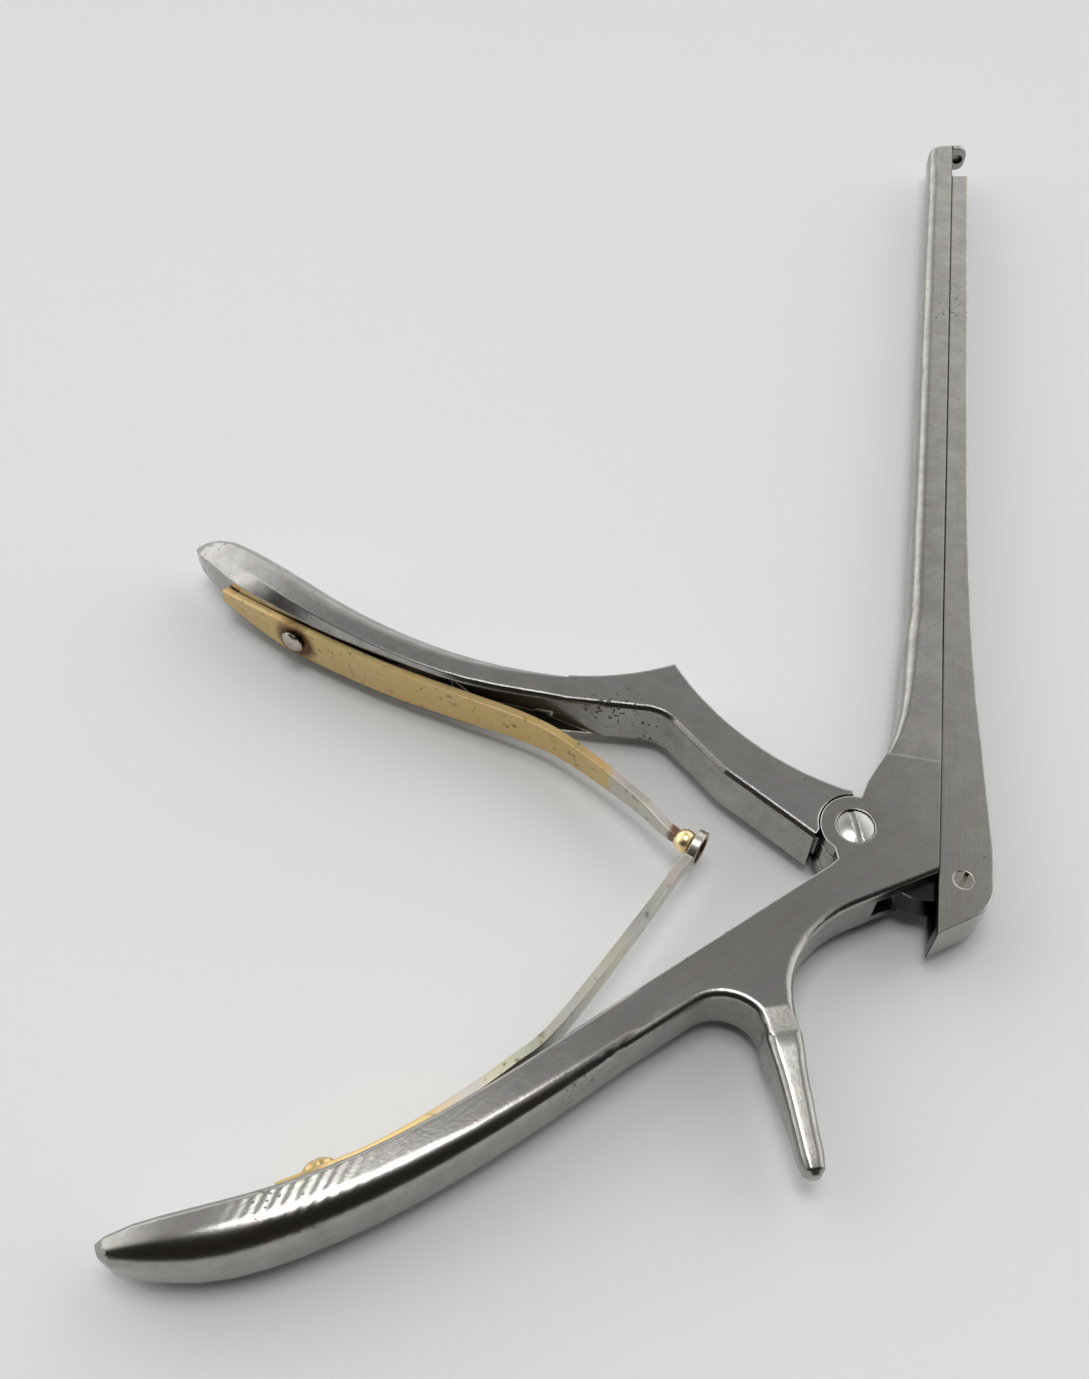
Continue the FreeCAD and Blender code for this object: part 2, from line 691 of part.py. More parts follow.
def bore_leaf_screw(body, word, route, step, side):
    """The hole of a leaf screw in its handle."""
    point, away = screw_frame(route, step, side)
    across = (away[1], -away[0])
    plane = cross_plane(point, across)
    sketch = circle(body, word + "ScrewHole", "XY_Plane", (0, 0),
                    mm("leaf_screw_radius") + mm("pin_gap"), plane)
    pocket(body, word + "ScrewBore", sketch, "2 * (Sizes.leaf_screw_depth + 0.2)")


def cut_tongue_slot(body):
    """The slot between the cheeks, where the tongue turns and the tang swings."""
    hub = mm("ear_radius") + mm("hub_gap")
    face = mm("slide_line")
    swing = handle_travel()
    points = tang_points()
    raised = turned(points[1], swing)
    raised_root = turned(points[0], swing)
    lift = 0.5
    sketch = outline(body, "SlotPlan", "XY_Plane", on_circle(hub, 200), [
        ("arc", on_circle(hub, 140), on_circle(hub, 82)),
        ("line", (raised_root[0] - 0.6, raised_root[1] + lift)),
        ("line", (face + 1.0, raised[1] + (raised_root[1] - raised[1]) * 0.2 + lift)),
        ("line", (face + 1.0, -16.0)),
        ("line", (points[7][0], points[7][1] - 6.0)),
        ("line", (points[8][0] - 0.6, points[8][1] - 0.9)),
        ("arc", on_circle(hub + 0.1, 238), on_circle(hub, 200)),
    ])
    pocket(body, "TongueSlot", sketch, "2 * (Sizes.tongue_half + Sizes.tongue_gap)")


def cut_pivot_bore(body):
    """The pivot screw's bore through both cheeks and its counterbore."""
    shank = circle(body, "PivotBorePlan", "XY_Plane", (0, 0), mm("pivot_radius") + mm("pin_gap"))
    pocket(body, "PivotBore", shank)
    seat = FreeCAD.Placement(V(0, 0, mm("body_half")), FreeCAD.Rotation())
    head = circle(body, "PivotSeatPlan", "XY_Plane", (0, 0), mm("pivot_head_radius") + 0.1, seat)
    one_sided_pocket(body, "PivotSeat", head, "Sizes.pivot_head_depth", False)


def make_moving_handle():
    """Front handle with finger rest, leaf channel, tongue and forked tang."""
    body = new_body("moving_handle")
    shoulder = mm("ear_radius") + mm("ear_gap")
    plan = outline(body, "RootPlan", "XY_Plane", (-46.0, 18.9), [
        ("arc", (-37.5, 20.9), FINGER_REST),
        ("curve", (-25.0, 18.9), (-18.0, 13.1), (-10.0, 8.7), (-2.2, 6.25)),
        ("line", (-0.75, 6.1)),
        ("line", on_circle(shoulder, 96.5)),
        ("arc", on_circle(shoulder, 145), on_circle(shoulder, 196)),
        ("line", (-5.9, -3.0)),
        ("line", (-20.0, 5.7)),
        ("line", (-28.6, 13.4)),
        ("arc", (-30.7, 14.6), (-33.5, 14.9)),
        ("line", (-46.0, 14.0)),
    ])
    pad(body, "RootPlate", plan, "2 * Sizes.body_half")

    def inner_edge(edge):
        box = edge.BoundBox
        return box.ZLength < 0.01 and box.XMax < -5.8 and box.YMax < 15.0

    chamfer(body, "RootBevel", inner_edge, "Sizes.root_bevel")
    hub = mm("ear_radius")
    tang = tang_points()
    tongue = outline(body, "TonguePlan", "XY_Plane", (-8.0, 3.5), [
        ("line", on_circle(hub, 140)),
        ("arc", on_circle(hub, 90), tang[0]),
        ("line", tang[1]),
        ("line", tang[2]),
        ("line", tang[3]),
        ("line", tang[4]),
        ("line", tang[5]),
        ("line", tang[6]),
        ("line", tang[7]),
        ("line", tang[8]),
        ("arc", on_circle(hub, 235), on_circle(hub, 200)),
        ("line", (-8.0, -0.6)),
    ])
    pad(body, "Tongue", tongue, "2 * Sizes.tongue_half")
    cut_fork(body)
    bore = circle(body, "HubBorePlan", "XY_Plane", (0, 0), mm("pivot_radius") + mm("pin_gap"))
    pocket(body, "HubBore", bore)
    make_moving_grip(body)
    return body


def cut_fork(body):
    """The open fork that takes the drive screw."""
    lean = drive_lean(mm("drive_y"))
    half = mm("drive_radius") + mm("fork_gap")
    bottom = mm("drive_x") - 0.3
    corners = [(fork_reach() + 2, half), (bottom, half), (bottom - half, 0),
               (bottom, -half), (fork_reach() + 2, -half)]
    local = [turned(p, lean) for p in corners]
    sketch = outline(body, "ForkPlan", "XY_Plane", local[0], [
        ("line", local[1]),
        ("arc", local[2], local[3]),
        ("line", local[4]),
    ])
    pocket(body, "Fork", sketch)


def make_moving_grip(body):
    """The finger grip, lofted through sections across it, with the leaf's channel."""
    wide = mm("grip_half")
    half = mm("body_half")
    bevel = mm("root_bevel")
    root = (-44.0, 14.15, 0, half, 4.9, 0.5, bevel, bevel)
    neck = (-52.0, 14.0, -2, 4.7, 4.9, 1.2, bevel, bevel)
    hollow = (-62.0, 14.3, -9, 5.0, 5.7, 2.4, 0.8, 0.5)
    middle = (-74.0, 16.6, -17, 5.4, 6.1, 3.2, 1.1, 0.4)
    belly = (-88.0, 20.6, -22, wide - 0.2, 7.2, 4.0, 1.8, 1.0)
    palm = (-99.0, 25.2, -26, wide - 0.3, 7.9, 3.9, 2.0, 1.9)
    heel = (-105.0, 28.6, -30, 5.0, 7.5, 3.3, 1.6, 2.2)
    taper = (-109.0, 31.6, -34, 3.9, 6.4, 2.5, 1.1, 1.9)
    tip = (-111.3, 33.4, -38, 2.9, 5.0, 1.9, 0.8, 1.3)
    end = (-112.4, 34.8, -42, 1.8, 3.2, 1.1, 0.4, 0.6)
    grip_loft(body, "FingerGrip",
              [root, neck, hollow, middle, belly, palm, heel, taper, tip, end], (0, 1))
    flexed = upper_leaf_flexed()
    gap = mm("leaf_gap")
    floor = [moved(p, n, gap) for p, n in zip(flexed, route_normals(flexed))][:6]
    past_butt = moved(floor[0], unit(floor[1], floor[0]), 0.8)
    sketch = channel_outline(body, "UpperChannelPlan",
                             [past_butt] + floor[1:] + [(-37.6, 14.3)],
                             [(-38.0, 6.0), moved(floor[0], (-0.37, -0.93), 8)])
    pocket(body, "UpperChannel", sketch, "2 * (Sizes.leaf_half + Sizes.leaf_side_gap)")
    bore_leaf_screw(body, "Upper", UPPER_LEAF_ROUTE, UPPER_SCREW_STEP, -1)


def make_slide():
    """Upper bar with its cutting end, guide lugs and the pocket for the tang."""
    body = new_body("slide")
    face = mm("slide_line") + mm("slide_gap")
    rest = mm("tip_reach") - mm("foot_thickness") - mm("bite_opening")
    low, high = jaw_edge(rest)
    plan = outline(body, "SlidePlan", "XY_Plane", (face, -15.0), [
        ("line", (17.3, -11.4)),
        ("arc", (19.3, -9.2), (20.2, -4.8)),
        ("line", (20.2, 0.0)),
        ("line", (18.45, 20.0)),
        ("curve", (17.0, 40.0), (16.3, 60.0), (16.0, 80.0)),
        ("line", high),
        ("line", (face, low[1])),
    ])
    pad(body, "SlideBar", plan, "2 * Sizes.heel_half + 1")
    width_taper(body, "SlideSide", 190.0, face)
    add_lugs(body, face)
    jaw_cup(body, "SlideCup", rest)
    cut_tang_pocket(body, face)
    bore = circle(body, "DriveBorePlan", "XY_Plane", (mm("drive_x"), mm("drive_y")),
                  mm("drive_radius") + mm("pin_gap"))
    pocket(body, "DriveBore", bore)
    return body


def add_lugs(body, face):
    """T-shaped guide lugs under the slide."""
    neck_end = mm("slide_line") - mm("lug_neck")
    head_end = neck_end - mm("lug_thickness")
    for alias, word in (("front_lug", "Front"), ("rear_lug", "Rear")):
        start = mm(alias)
        end = start + mm("lug_length")
        neck = outline(body, word + "LugNeckPlan", "XY_Plane", (neck_end, start), [
            ("line", (face + 0.2, start)),
            ("line", (face + 0.2, end)),
            ("line", (neck_end, end)),
        ])
        pad(body, word + "LugNeck", neck, "Sizes.lug_width")
        head = outline(body, word + "LugHeadPlan", "XY_Plane", (head_end, start), [
            ("line", (neck_end, start)),
            ("line", (neck_end, end)),
            ("line", (head_end, end)),
        ])
        pad(body, word + "LugHead", head, "Sizes.lug_head")


def cut_tang_pocket(body, face):
    """The pocket in the slide's heel where the fork turns about the drive screw."""
    plan = outline(body, "TangPocketPlan", "XY_Plane", (face - 0.5, -13.3), [
        ("line", (13.3, -13.1)),
        ("line", (16.2, -11.0)),
        ("line", (17.6, -9.3)),
        ("line", (18.9, -7.0)),
        ("line", (18.9, -2.6)),
        ("line", (16.4, 0.4)),
        ("line", (face - 0.5, 0.4)),
    ])
    pocket(body, "TangPocket", plan, "2 * (Sizes.tongue_half + Sizes.tongue_gap)")


def make_screw(name, profile):
    """A turned screw about the Z axis."""
    body = new_body(name)
    sketch = new_sketch(body, "Profile", "XZ_Plane")
    draw(sketch, profile[0], profile[1])
    feature = body.newObject("PartDesign::Revolution", "Turned")
    feature.Profile = sketch
    feature.ReferenceAxis = (sketch, ["V_Axis"])
    feature.Angle = 360
    settle(feature)
    return body


def cut_driver_slot(body, top, turn):
    """A driver slot across a screw's head, turned about the screw by some degrees."""
    half = mm("slot_width") / 2
    level = FreeCAD.Placement(V(0, 0, top - mm("slot_depth")),
                              FreeCAD.Rotation(V(0, 0, 1), turn))
    cut = outline(body, "DriverSlotPlan", "XY_Plane", (-8, -half), [
        ("line", (8, -half)),
        ("line", (8, half)),
        ("line", (-8, half)),
    ], level)
    one_sided_pocket(body, "DriverSlot", cut, "4", True)


def dome_middle(radius, rim, crown):
    """The middle of a screw head's arc, which is centred on the screw's axis."""
    rise = crown - rim
    bend = (radius * radius + rise * rise) / (2 * rise)
    half_angle = math.asin(radius / bend) / 2
    return (bend * math.sin(half_angle), crown - bend + bend * math.cos(half_angle))


def make_pivot_screw():
    """Shoulder screw through both cheeks, with a domed head in a counterbore."""
    top = mm("body_half")
    seat = top - mm("pivot_head_depth")
    head = mm("pivot_head_radius")
    shank = mm("pivot_radius")
    crown = top + mm("pivot_dome")
    rim = top - 0.15
    end = -mm("body_half") + mm("pivot_recess")
    profile = ((0, end), [
        ("line", (shank - 0.4, end)),
        ("line", (shank, end + 0.4)),
        ("line", (shank, seat)),
        ("line", (head, seat)),
        ("line", (head, rim)),
        ("arc", dome_middle(head, rim, crown), (0, crown)),
    ])
    body = make_screw("pivot_screw", profile)
    cut_driver_slot(body, crown, PIVOT_SLOT_TURN)
    return body


def make_drive_screw():
    """Flush screw across the slide's heel that the fork pushes on."""
    half = shaft_half(mm("drive_y"))
    radius = mm("drive_radius")
    profile = ((0, -half + 0.1), [
        ("line", (radius - 0.2, -half + 0.1)),
        ("line", (radius, -half + 0.3)),
        ("line", (radius, half - 0.02)),
        ("line", (0, half - 0.02)),
    ])
    body = make_screw("drive_screw", profile)
    cut_driver_slot(body, half, DRIVE_SLOT_TURN)
    body.setExpression("Placement.Base.x", "Sizes.pivot_x + Sizes.drive_x")
    body.setExpression("Placement.Base.y", "Sizes.pivot_y + Sizes.drive_y")
    return body


def make_leaf_screw(name, route, step, side, leaf, head, rise):
    """A leaf screw, standing square to its leaf, with a head of some radius and height."""
    point, away = screw_frame(route, step, side)
    reach = leaf + mm("leaf_head_gap")
    shank = mm("leaf_screw_radius")
    rim = reach + rise * 0.35
    depth = mm("leaf_screw_depth")
    profile = ((0, -depth), [
        ("line", (shank - 0.3, -depth)),
        ("line", (shank, -depth + 0.3)),
        ("line", (shank, reach)),
        ("line", (head, reach)),
        ("line", (head, rim)),
        ("arc", dome_middle(head, rim, reach + rise), (0, reach + rise)),
    ])
    body = make_screw(name, profile)
    across = V(-away[1], away[0], 0)
    up = V(away[0], away[1], 0)
    body.setExpression("Placement.Base.x", "Sizes.pivot_x + %.4f" % point[0])
    body.setExpression("Placement.Base.y", "Sizes.pivot_y + %.4f" % point[1])
    body.Placement.Rotation = FreeCAD.Rotation(across, V(0, 0, 1), up, "ZXY")
    return body


def make_upper_leaf_screw():
    """The plain round-headed screw of the upper leaf."""
    return make_leaf_screw("upper_leaf_screw", UPPER_LEAF_ROUTE, UPPER_SCREW_STEP, -1,
                           mm("leaf_butt"), mm("round_head_radius"), mm("round_head_height"))


def make_lower_leaf_screw():
    """The slotted screw of the lower leaf."""
    leaf = mm("leaf_thickness")
    rise = mm("slotted_head_height")
    body = make_leaf_screw("lower_leaf_screw", LOWER_LEAF_ROUTE, LOWER_SCREW_STEP, 1,
                           leaf, mm("slotted_head_radius"), rise)
    cut_driver_slot(body, leaf + mm("leaf_head_gap") + rise, LEAF_SLOT_TURN)
    return body


def upper_leaf_outer():
    """The upper leaf's outer face: thinner at the screw, full from the third point on."""
    thin = mm("leaf_butt")
    full = mm("leaf_thickness")
    depths = [thin, thin, (thin + full) / 2] + [full] * (len(UPPER_LEAF_ROUTE) - 3)
    return offset_route(UPPER_LEAF_ROUTE, [-depth for depth in depths])


def trim_leaf(body, name, widths):
    """Narrows a leaf spring in a view along Y, where it is half as wide as stated."""
    for side, word in ((1, "Top"), (-1, "Under")):
        first = widths[0]
        sketch = outline(body, name + word, "XZ_Plane", (first[0], side * first[1]), [
            tuple(["curve"] + [(x, side * half) for x, half in widths[1:]]),
            ("line", (widths[-1][0], side * 8.0)),
            ("line", (first[0], side * 8.0)),
        ])
        pocket(body, name + word + "Cut", sketch)


def leaf_hole(body, word, route, step, side):
    """The clearance hole of a leaf spring for its screw."""
    point, away = screw_frame(route, step, side)
    plane = cross_plane(point, (away[1], -away[0]))
    radius = mm("leaf_screw_radius") + mm("leaf_hole_gap")
    sketch = circle(body, word + "LeafHole", "XY_Plane", (0, 0), radius, plane)
    pocket(body, word + "LeafBore", sketch, "4 * Sizes.leaf_thickness")


def ball_centre():
    """The ball stands in front of the lower leaf's round end."""
    along = unit(LOWER_LEAF_ROUTE[-1], EYELET_CENTRE)
    toward_ball = (-along[1], along[0])
    return moved(moved(EYELET_CENTRE, toward_ball, mm("ball_seat")), along, mm("ball_lead"))


def make_upper_leaf():
    """Leaf spring in the moving handle, with a narrow tail for the ball."""
    body = new_body("upper_leaf")
    back = list(reversed(upper_leaf_outer()))
    profile = outline(body, "UpperLeafPlan", "XY_Plane", UPPER_LEAF_ROUTE[0], [
        tuple(["curve"] + UPPER_LEAF_ROUTE[1:]),
        ("line", back[0]),
        tuple(["curve"] + back[1:]),
    ])
    pad(body, "UpperLeafBar", profile, "2 * Sizes.leaf_half")
    wide = mm("leaf_half")
    trim_leaf(body, "UpperLeafSide", [
        (-107.0, 0.3), (-104.5, 1.5), (-99.5, wide - 0.8), (-93.0, wide + 0.02),
        (-70.0, wide + 0.02), (-50.0, 2.95), (-38.0, 2.3), (-29.5, 1.8), (-25.5, 1.2)])
    tail_start, tail_along, tail_length = leaf_tail()
    across = (-tail_along[1], tail_along[0])
    thick = mm("leaf_thickness") / 2
    ends = (-1.2, tail_length)
    corners = [moved(moved(tail_start, tail_along, u), across, v)
               for u, v in ((ends[0], -thick), (ends[1], -thick), (ends[1], thick), (ends[0], thick))]
    tail = outline(body, "TailPlan", "XY_Plane", corners[0], [("line", c) for c in corners[1:]])
    pad(body, "Tail", tail, "2 * Sizes.tail_half")
    leaf_hole(body, "Upper", UPPER_LEAF_ROUTE, UPPER_SCREW_STEP, -1)
    return body


def leaf_tail():
    """The start, direction and length of the tail that reaches into the ball."""
    end = UPPER_LEAF_ROUTE[-1]
    under = upper_leaf_outer()[-1]
    start = ((end[0] + under[0]) / 2, (end[1] + under[1]) / 2)
    centre = ball_centre()
    distance = math.hypot(centre[0] - start[0], centre[1] - start[1])
    return start, unit(start, centre), distance


def make_spring_ball():
    """The ball, with a square socket for the leaf's tail."""
    body = new_body("spring_ball")
    centre = ball_centre()
    body.setExpression("Placement.Base.x", "Sizes.pivot_x + %.4f" % centre[0])
    body.setExpression("Placement.Base.y", "Sizes.pivot_y + %.4f" % centre[1])
    radius = mm("ball_radius")
    sketch = outline(body, "BallProfile", "XZ_Plane", (0, -radius), [
        ("arc", (radius, 0), (0, radius)),
    ])
    feature = body.newObject("PartDesign::Revolution", "Ball")
    feature.Profile = sketch
    feature.ReferenceAxis = (sketch, ["V_Axis"])
    feature.Angle = 360
    settle(feature)
    start, along, distance = leaf_tail()
    across = (-along[1], along[0])
    half = mm("leaf_thickness") / 2 + mm("pin_gap")
    corners = [moved(moved((0, 0), along, u), across, v)
               for u, v in ((-4.0, -half), (0.05, -half), (0.05, half), (-4.0, half))]
    socket = outline(body, "SocketPlan", "XY_Plane", corners[0], [("line", c) for c in corners[1:]])
    pocket(body, "Socket", socket, "2 * (Sizes.tail_half + Sizes.pin_gap)")
    return body


def make_lower_leaf():
    """Leaf spring in the fixed handle, with a round end that cups the ball."""
    body = new_body("lower_leaf")
    far = offset_route(LOWER_LEAF_ROUTE, [mm("leaf_thickness")] * len(LOWER_LEAF_ROUTE))
    along = unit(LOWER_LEAF_ROUTE[-1], EYELET_CENTRE)
    across = (-along[1], along[0])
    half = mm("leaf_thickness") / 2
    low = moved(EYELET_CENTRE, across, -half)
    high = moved(EYELET_CENTRE, across, half)
    back = list(reversed(far))
    profile = outline(body, "LowerLeafPlan", "XY_Plane", LOWER_LEAF_ROUTE[0], [
        tuple(["curve"] + LOWER_LEAF_ROUTE[1:] + [low]),
        ("line", high),
        tuple(["curve"] + back),
    ])
    pad(body, "LowerLeafBar", profile, "2 * Sizes.leaf_half")
    wide = mm("leaf_half")
    trim_leaf(body, "LowerLeafSide", [
        (-70.0, 1.2), (-68.0, 2.4), (-64.5, wide + 0.02), (-52.0, wide + 0.02),
        (-40.0, 2.9), (-31.0, 2.2), (-26.0, 1.7), (-21.0, 1.5)])
    plane = cross_plane(EYELET_CENTRE, along)
    disc = circle(body, "EyeletPlan", "XY_Plane", (0, 0), mm("eyelet_radius"), plane)
    pad(body, "Eyelet", disc, "Sizes.leaf_thickness")
    hole = circle(body, "EyeletHolePlan", "XY_Plane", (0, 0), mm("eyelet_hole"), plane)
    pocket(body, "EyeletHole", hole, "3 * Sizes.leaf_thickness")
    leaf_hole(body, "Lower", LOWER_LEAF_ROUTE, LOWER_SCREW_STEP, 1)
    return body


def check_and_export(bodies):
    """Stops on any failed feature, then writes each piece to its own file."""
    doc.recompute()
    for item in doc.Objects:
        if "Invalid" in item.State or "Error" in item.State:
            raise RuntimeError("%s is not valid: %s" % (item.Name, item.State))
    for body in bodies:
        shape = body.Shape
        if shape.isNull() or not shape.isValid() or len(shape.Solids) != 1:
            raise RuntimeError("%s has no single valid solid" % body.Label)
    os.makedirs("parts", exist_ok=True)
    for body in bodies:
        body.Shape.exportStep("parts/%s.step" % body.Label)
        box = body.Shape.BoundBox
        print("%-18s volume %9.2f  X %8.2f %8.2f  Y %8.2f %8.2f  Z %6.2f %6.2f" % (
            body.Label, body.Shape.Volume, box.XMin, box.XMax, box.YMin, box.YMax,
            box.ZMin, box.ZMax))


def main():
    """Builds every piece and writes it."""
    bodies = [
        make_frame(),
        make_moving_handle(),
        make_slide(),
        make_pivot_screw(),
        make_drive_screw(),
        make_upper_leaf(),
        make_upper_leaf_screw(),
        make_spring_ball(),
        make_lower_leaf(),
        make_lower_leaf_screw(),
    ]
    check_and_export(bodies)
    print("handle travel %.3f degrees" % handle_travel())


main()
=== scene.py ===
# %% [markdown]
# # A bone rongeur with a sliding jaw
# The tool is a steel forging with two handles. A pair of leaf springs holds the handles
# apart, and closing them drives a long slide along a rail to the footplate at its end.
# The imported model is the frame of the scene. Its pieces stay where they are, and this
# lesson gives them their finish, their springs, light and a camera.

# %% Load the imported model
import bmesh
import bpy
import json
import math
from mathutils import Matrix, Vector
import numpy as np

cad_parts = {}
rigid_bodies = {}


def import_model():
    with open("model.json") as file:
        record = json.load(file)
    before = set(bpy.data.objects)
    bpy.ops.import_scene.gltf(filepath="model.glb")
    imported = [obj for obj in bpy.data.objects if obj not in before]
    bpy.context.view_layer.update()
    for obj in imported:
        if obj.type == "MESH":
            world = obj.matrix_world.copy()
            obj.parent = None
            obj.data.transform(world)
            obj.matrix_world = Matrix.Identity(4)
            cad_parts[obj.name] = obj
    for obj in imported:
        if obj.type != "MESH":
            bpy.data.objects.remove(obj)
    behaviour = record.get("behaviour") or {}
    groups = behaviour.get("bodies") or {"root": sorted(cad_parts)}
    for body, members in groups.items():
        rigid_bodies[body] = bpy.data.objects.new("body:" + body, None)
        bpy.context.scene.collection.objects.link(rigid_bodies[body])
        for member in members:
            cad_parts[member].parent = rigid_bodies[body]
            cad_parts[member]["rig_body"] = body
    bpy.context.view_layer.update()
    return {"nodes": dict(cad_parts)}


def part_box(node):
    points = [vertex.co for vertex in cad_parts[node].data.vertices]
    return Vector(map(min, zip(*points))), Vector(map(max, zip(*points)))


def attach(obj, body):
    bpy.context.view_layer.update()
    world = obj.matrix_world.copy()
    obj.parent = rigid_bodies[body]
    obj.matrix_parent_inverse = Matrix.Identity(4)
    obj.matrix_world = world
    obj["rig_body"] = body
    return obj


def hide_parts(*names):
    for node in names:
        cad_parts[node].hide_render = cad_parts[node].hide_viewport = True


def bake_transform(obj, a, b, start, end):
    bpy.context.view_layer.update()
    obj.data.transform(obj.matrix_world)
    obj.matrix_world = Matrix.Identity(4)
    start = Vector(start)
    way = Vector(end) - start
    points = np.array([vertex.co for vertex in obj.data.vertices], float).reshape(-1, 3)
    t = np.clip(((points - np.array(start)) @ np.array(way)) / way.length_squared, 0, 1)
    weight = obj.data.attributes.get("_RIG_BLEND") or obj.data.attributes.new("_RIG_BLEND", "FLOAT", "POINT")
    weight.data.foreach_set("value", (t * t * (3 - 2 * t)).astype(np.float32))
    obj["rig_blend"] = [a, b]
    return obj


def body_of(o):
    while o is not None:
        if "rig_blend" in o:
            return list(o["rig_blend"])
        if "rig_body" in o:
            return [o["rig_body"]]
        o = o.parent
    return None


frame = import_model()
nodes = frame["nodes"]
PIVOT = Vector((0.046076, -0.053215, 0.006246))
print("pieces:", sorted(nodes))


def from_pivot(x, y, z=0.0):
    """A place given in millimetres from the pivot screw, in metres."""
    return PIVOT + Vector((x, y, z)) * 0.001


# %% [markdown]
# ## The camera
# The view looks down over the handles at a little over fifty degrees. Three directions
# describe it better than three angles do, because they come straight from the tool: where
# the picture's right, its top and its back point in space.

# %% Camera
IMAGE_HEIGHT = 1379
FOCAL_PIXELS = 1450
SENSOR = 24.0
CAMERA_PLACE = from_pivot(-29.97, -118.8, 184.77)

camera_data = bpy.data.cameras.new("PhotographView")
camera_data.sensor_fit = "VERTICAL"
camera_data.sensor_height = SENSOR
camera_data.lens = SENSOR * FOCAL_PIXELS / IMAGE_HEIGHT
camera_data.clip_start = 0.01
camera_data.clip_end = 20.0
camera = bpy.data.objects.new("PhotographView", camera_data)
right = Vector((0.98329, 0.17973, 0.02905))
up = Vector((-0.16094, 0.78345, 0.60026))
back = Vector((0.08513, -0.59490, 0.79928))
turn = Matrix((right, up, back)).transposed()
camera.matrix_world = Matrix.Translation(CAMERA_PLACE) @ turn.to_4x4()
bpy.context.scene.collection.objects.link(camera)
bpy.context.scene.camera = camera
bpy.context.scene.view_settings.view_transform = "Standard"
print("lens %.2f mm" % camera_data.lens)

# %% [markdown]
# ## The floor
# The tool lies on a plain pale sweep. A single large square does that job, a hair under
# the lowest point of the steel, in a matt finish that takes the soft shadow.

# %% Floor
FLOOR_HALF = 3.0
FLOOR_LEVEL = -0.0002
floor_mesh = bpy.data.meshes.new("Floor")
corners = [(-FLOOR_HALF, -FLOOR_HALF), (FLOOR_HALF, -FLOOR_HALF),
           (FLOOR_HALF, FLOOR_HALF), (-FLOOR_HALF, FLOOR_HALF)]
floor_mesh.from_pydata([(x, y, FLOOR_LEVEL) for x, y in corners], [], [(0, 1, 2, 3)])
floor = bpy.data.objects.new("Floor", floor_mesh)
bpy.context.scene.collection.objects.link(floor)
print("floor: %.1f m square" % (2 * FLOOR_HALF))

# %% [markdown]
# ## A small kit for materials
# Every finish below is a handful of nodes. A few helpers keep their wiring short: one makes
# a material with its principled shader, one adds a node, sets its sockets and links
# whatever is handed to it as a socket, and one spreads a value over another range.


# %% Helpers for materials
def new_material(name):
    """A node material, its tree and its principled shader."""
    material = bpy.data.materials.new(name)
    material.use_nodes = True
    tree = material.node_tree
    return material, tree, tree.nodes["Principled BSDF"]


def add(tree, kind, settings=None, **sockets):
    """Adds a node. Sockets go by name, with underscores for spaces, or by number as i0, i1."""
    node = tree.nodes.new(kind)
    for key, value in (settings or {}).items():
        setattr(node, key, value)
    for key, value in sockets.items():
        numbered = key[0] == "i" and key[1:].isdigit()
        socket = node.inputs[int(key[1:]) if numbered else key.replace("_", " ")]
        if isinstance(value, bpy.types.NodeSocket):
            tree.links.new(value, socket)
        else:
            socket.default_value = value
    return node


def grey(level):
    """A neutral colour."""
    return (level, level, level, 1.0)


def ramp(tree, value, low, high, to_low=0.0, to_high=1.0):
    """A value spread from one range to another, and clamped."""
    node = add(tree, "ShaderNodeMapRange", Value=value)
    limits = zip(("From Min", "From Max", "To Min", "To Max"), (low, high, to_low, to_high))
    for key, number in limits:
        node.inputs[key].default_value = number
    return node.outputs["Result"]


print("helpers: new_material, add, grey, ramp")


# %% [markdown]
# The floor's colour is a flat pale grey in paper or plaster; a very faint cloud keeps it
# from looking like a computer's white.

# %% Floor finish
CLOUD_TONES = ((0.83, 0.845, 0.84, 1), (0.86, 0.875, 0.87, 1))
material, tree, shader = new_material("PaleSweep")
place = add(tree, "ShaderNodeTexCoord")
cloud = add(tree, "ShaderNodeTexNoise", Vector=place.outputs["Object"], Scale=3.0, Detail=2.0)
tone = add(tree, "ShaderNodeMixRGB", Fac=cloud.outputs["Fac"],
           Color1=CLOUD_TONES[0], Color2=CLOUD_TONES[1])
tree.links.new(tone.outputs["Color"], shader.inputs["Base Color"])
shader.inputs["Roughness"].default_value = 0.75
shader.inputs["Specular IOR Level"].default_value = 0.2
floor.data.materials.append(material)
print("floor finish:", material.name)


# %% [markdown]
# ## Worn instrument steel
# The forgings are stainless steel, ground satin and then handled for years. Fine grinding
# lines run along the bar, and small dark pits and brown stains lie in patches. Shade is
# painted into the corners: the ambient occlusion node finds them and darkens the colour
# there. The bevel node gives each edge the small round that grinding leaves; the edges are
# also painted lighter, partly as wear and partly as a painted highlight, and a black line of
# painted shadow marks the gap between the slide and the rail.


# %% Steel for the forgings
SEAM = 12.3
# The black of the painted shadow in the gap where the slide meets the rail.
SEAM_SHADOW = (0.012, 0.011, 0.010, 1)
# The colour of the painted shade in corners and gaps, and how far that shade reaches.
PAINTED_SHADE = (0.018, 0.015, 0.012, 1)
SHADE_REACH = 0.005
PIT = (0.05, 0.04, 0.03, 1)
BROWN_STAIN = (0.24, 0.19, 0.14, 1)
# The edges' lighter colour is partly wear and partly a painted highlight.
WORN_EDGE_HIGHLIGHT = (0.70, 0.69, 0.67, 1)
EDGE_ROUND = 0.00045


def math_node(tree, operation, first, second=None, third=None):
    """The result of a sum on one to three values or sockets."""
    inputs = {"i%d" % i: v for i, v in enumerate((first, second, third)) if v is not None}
    return add(tree, "ShaderNodeMath", {"operation": operation}, **inputs).outputs["Value"]


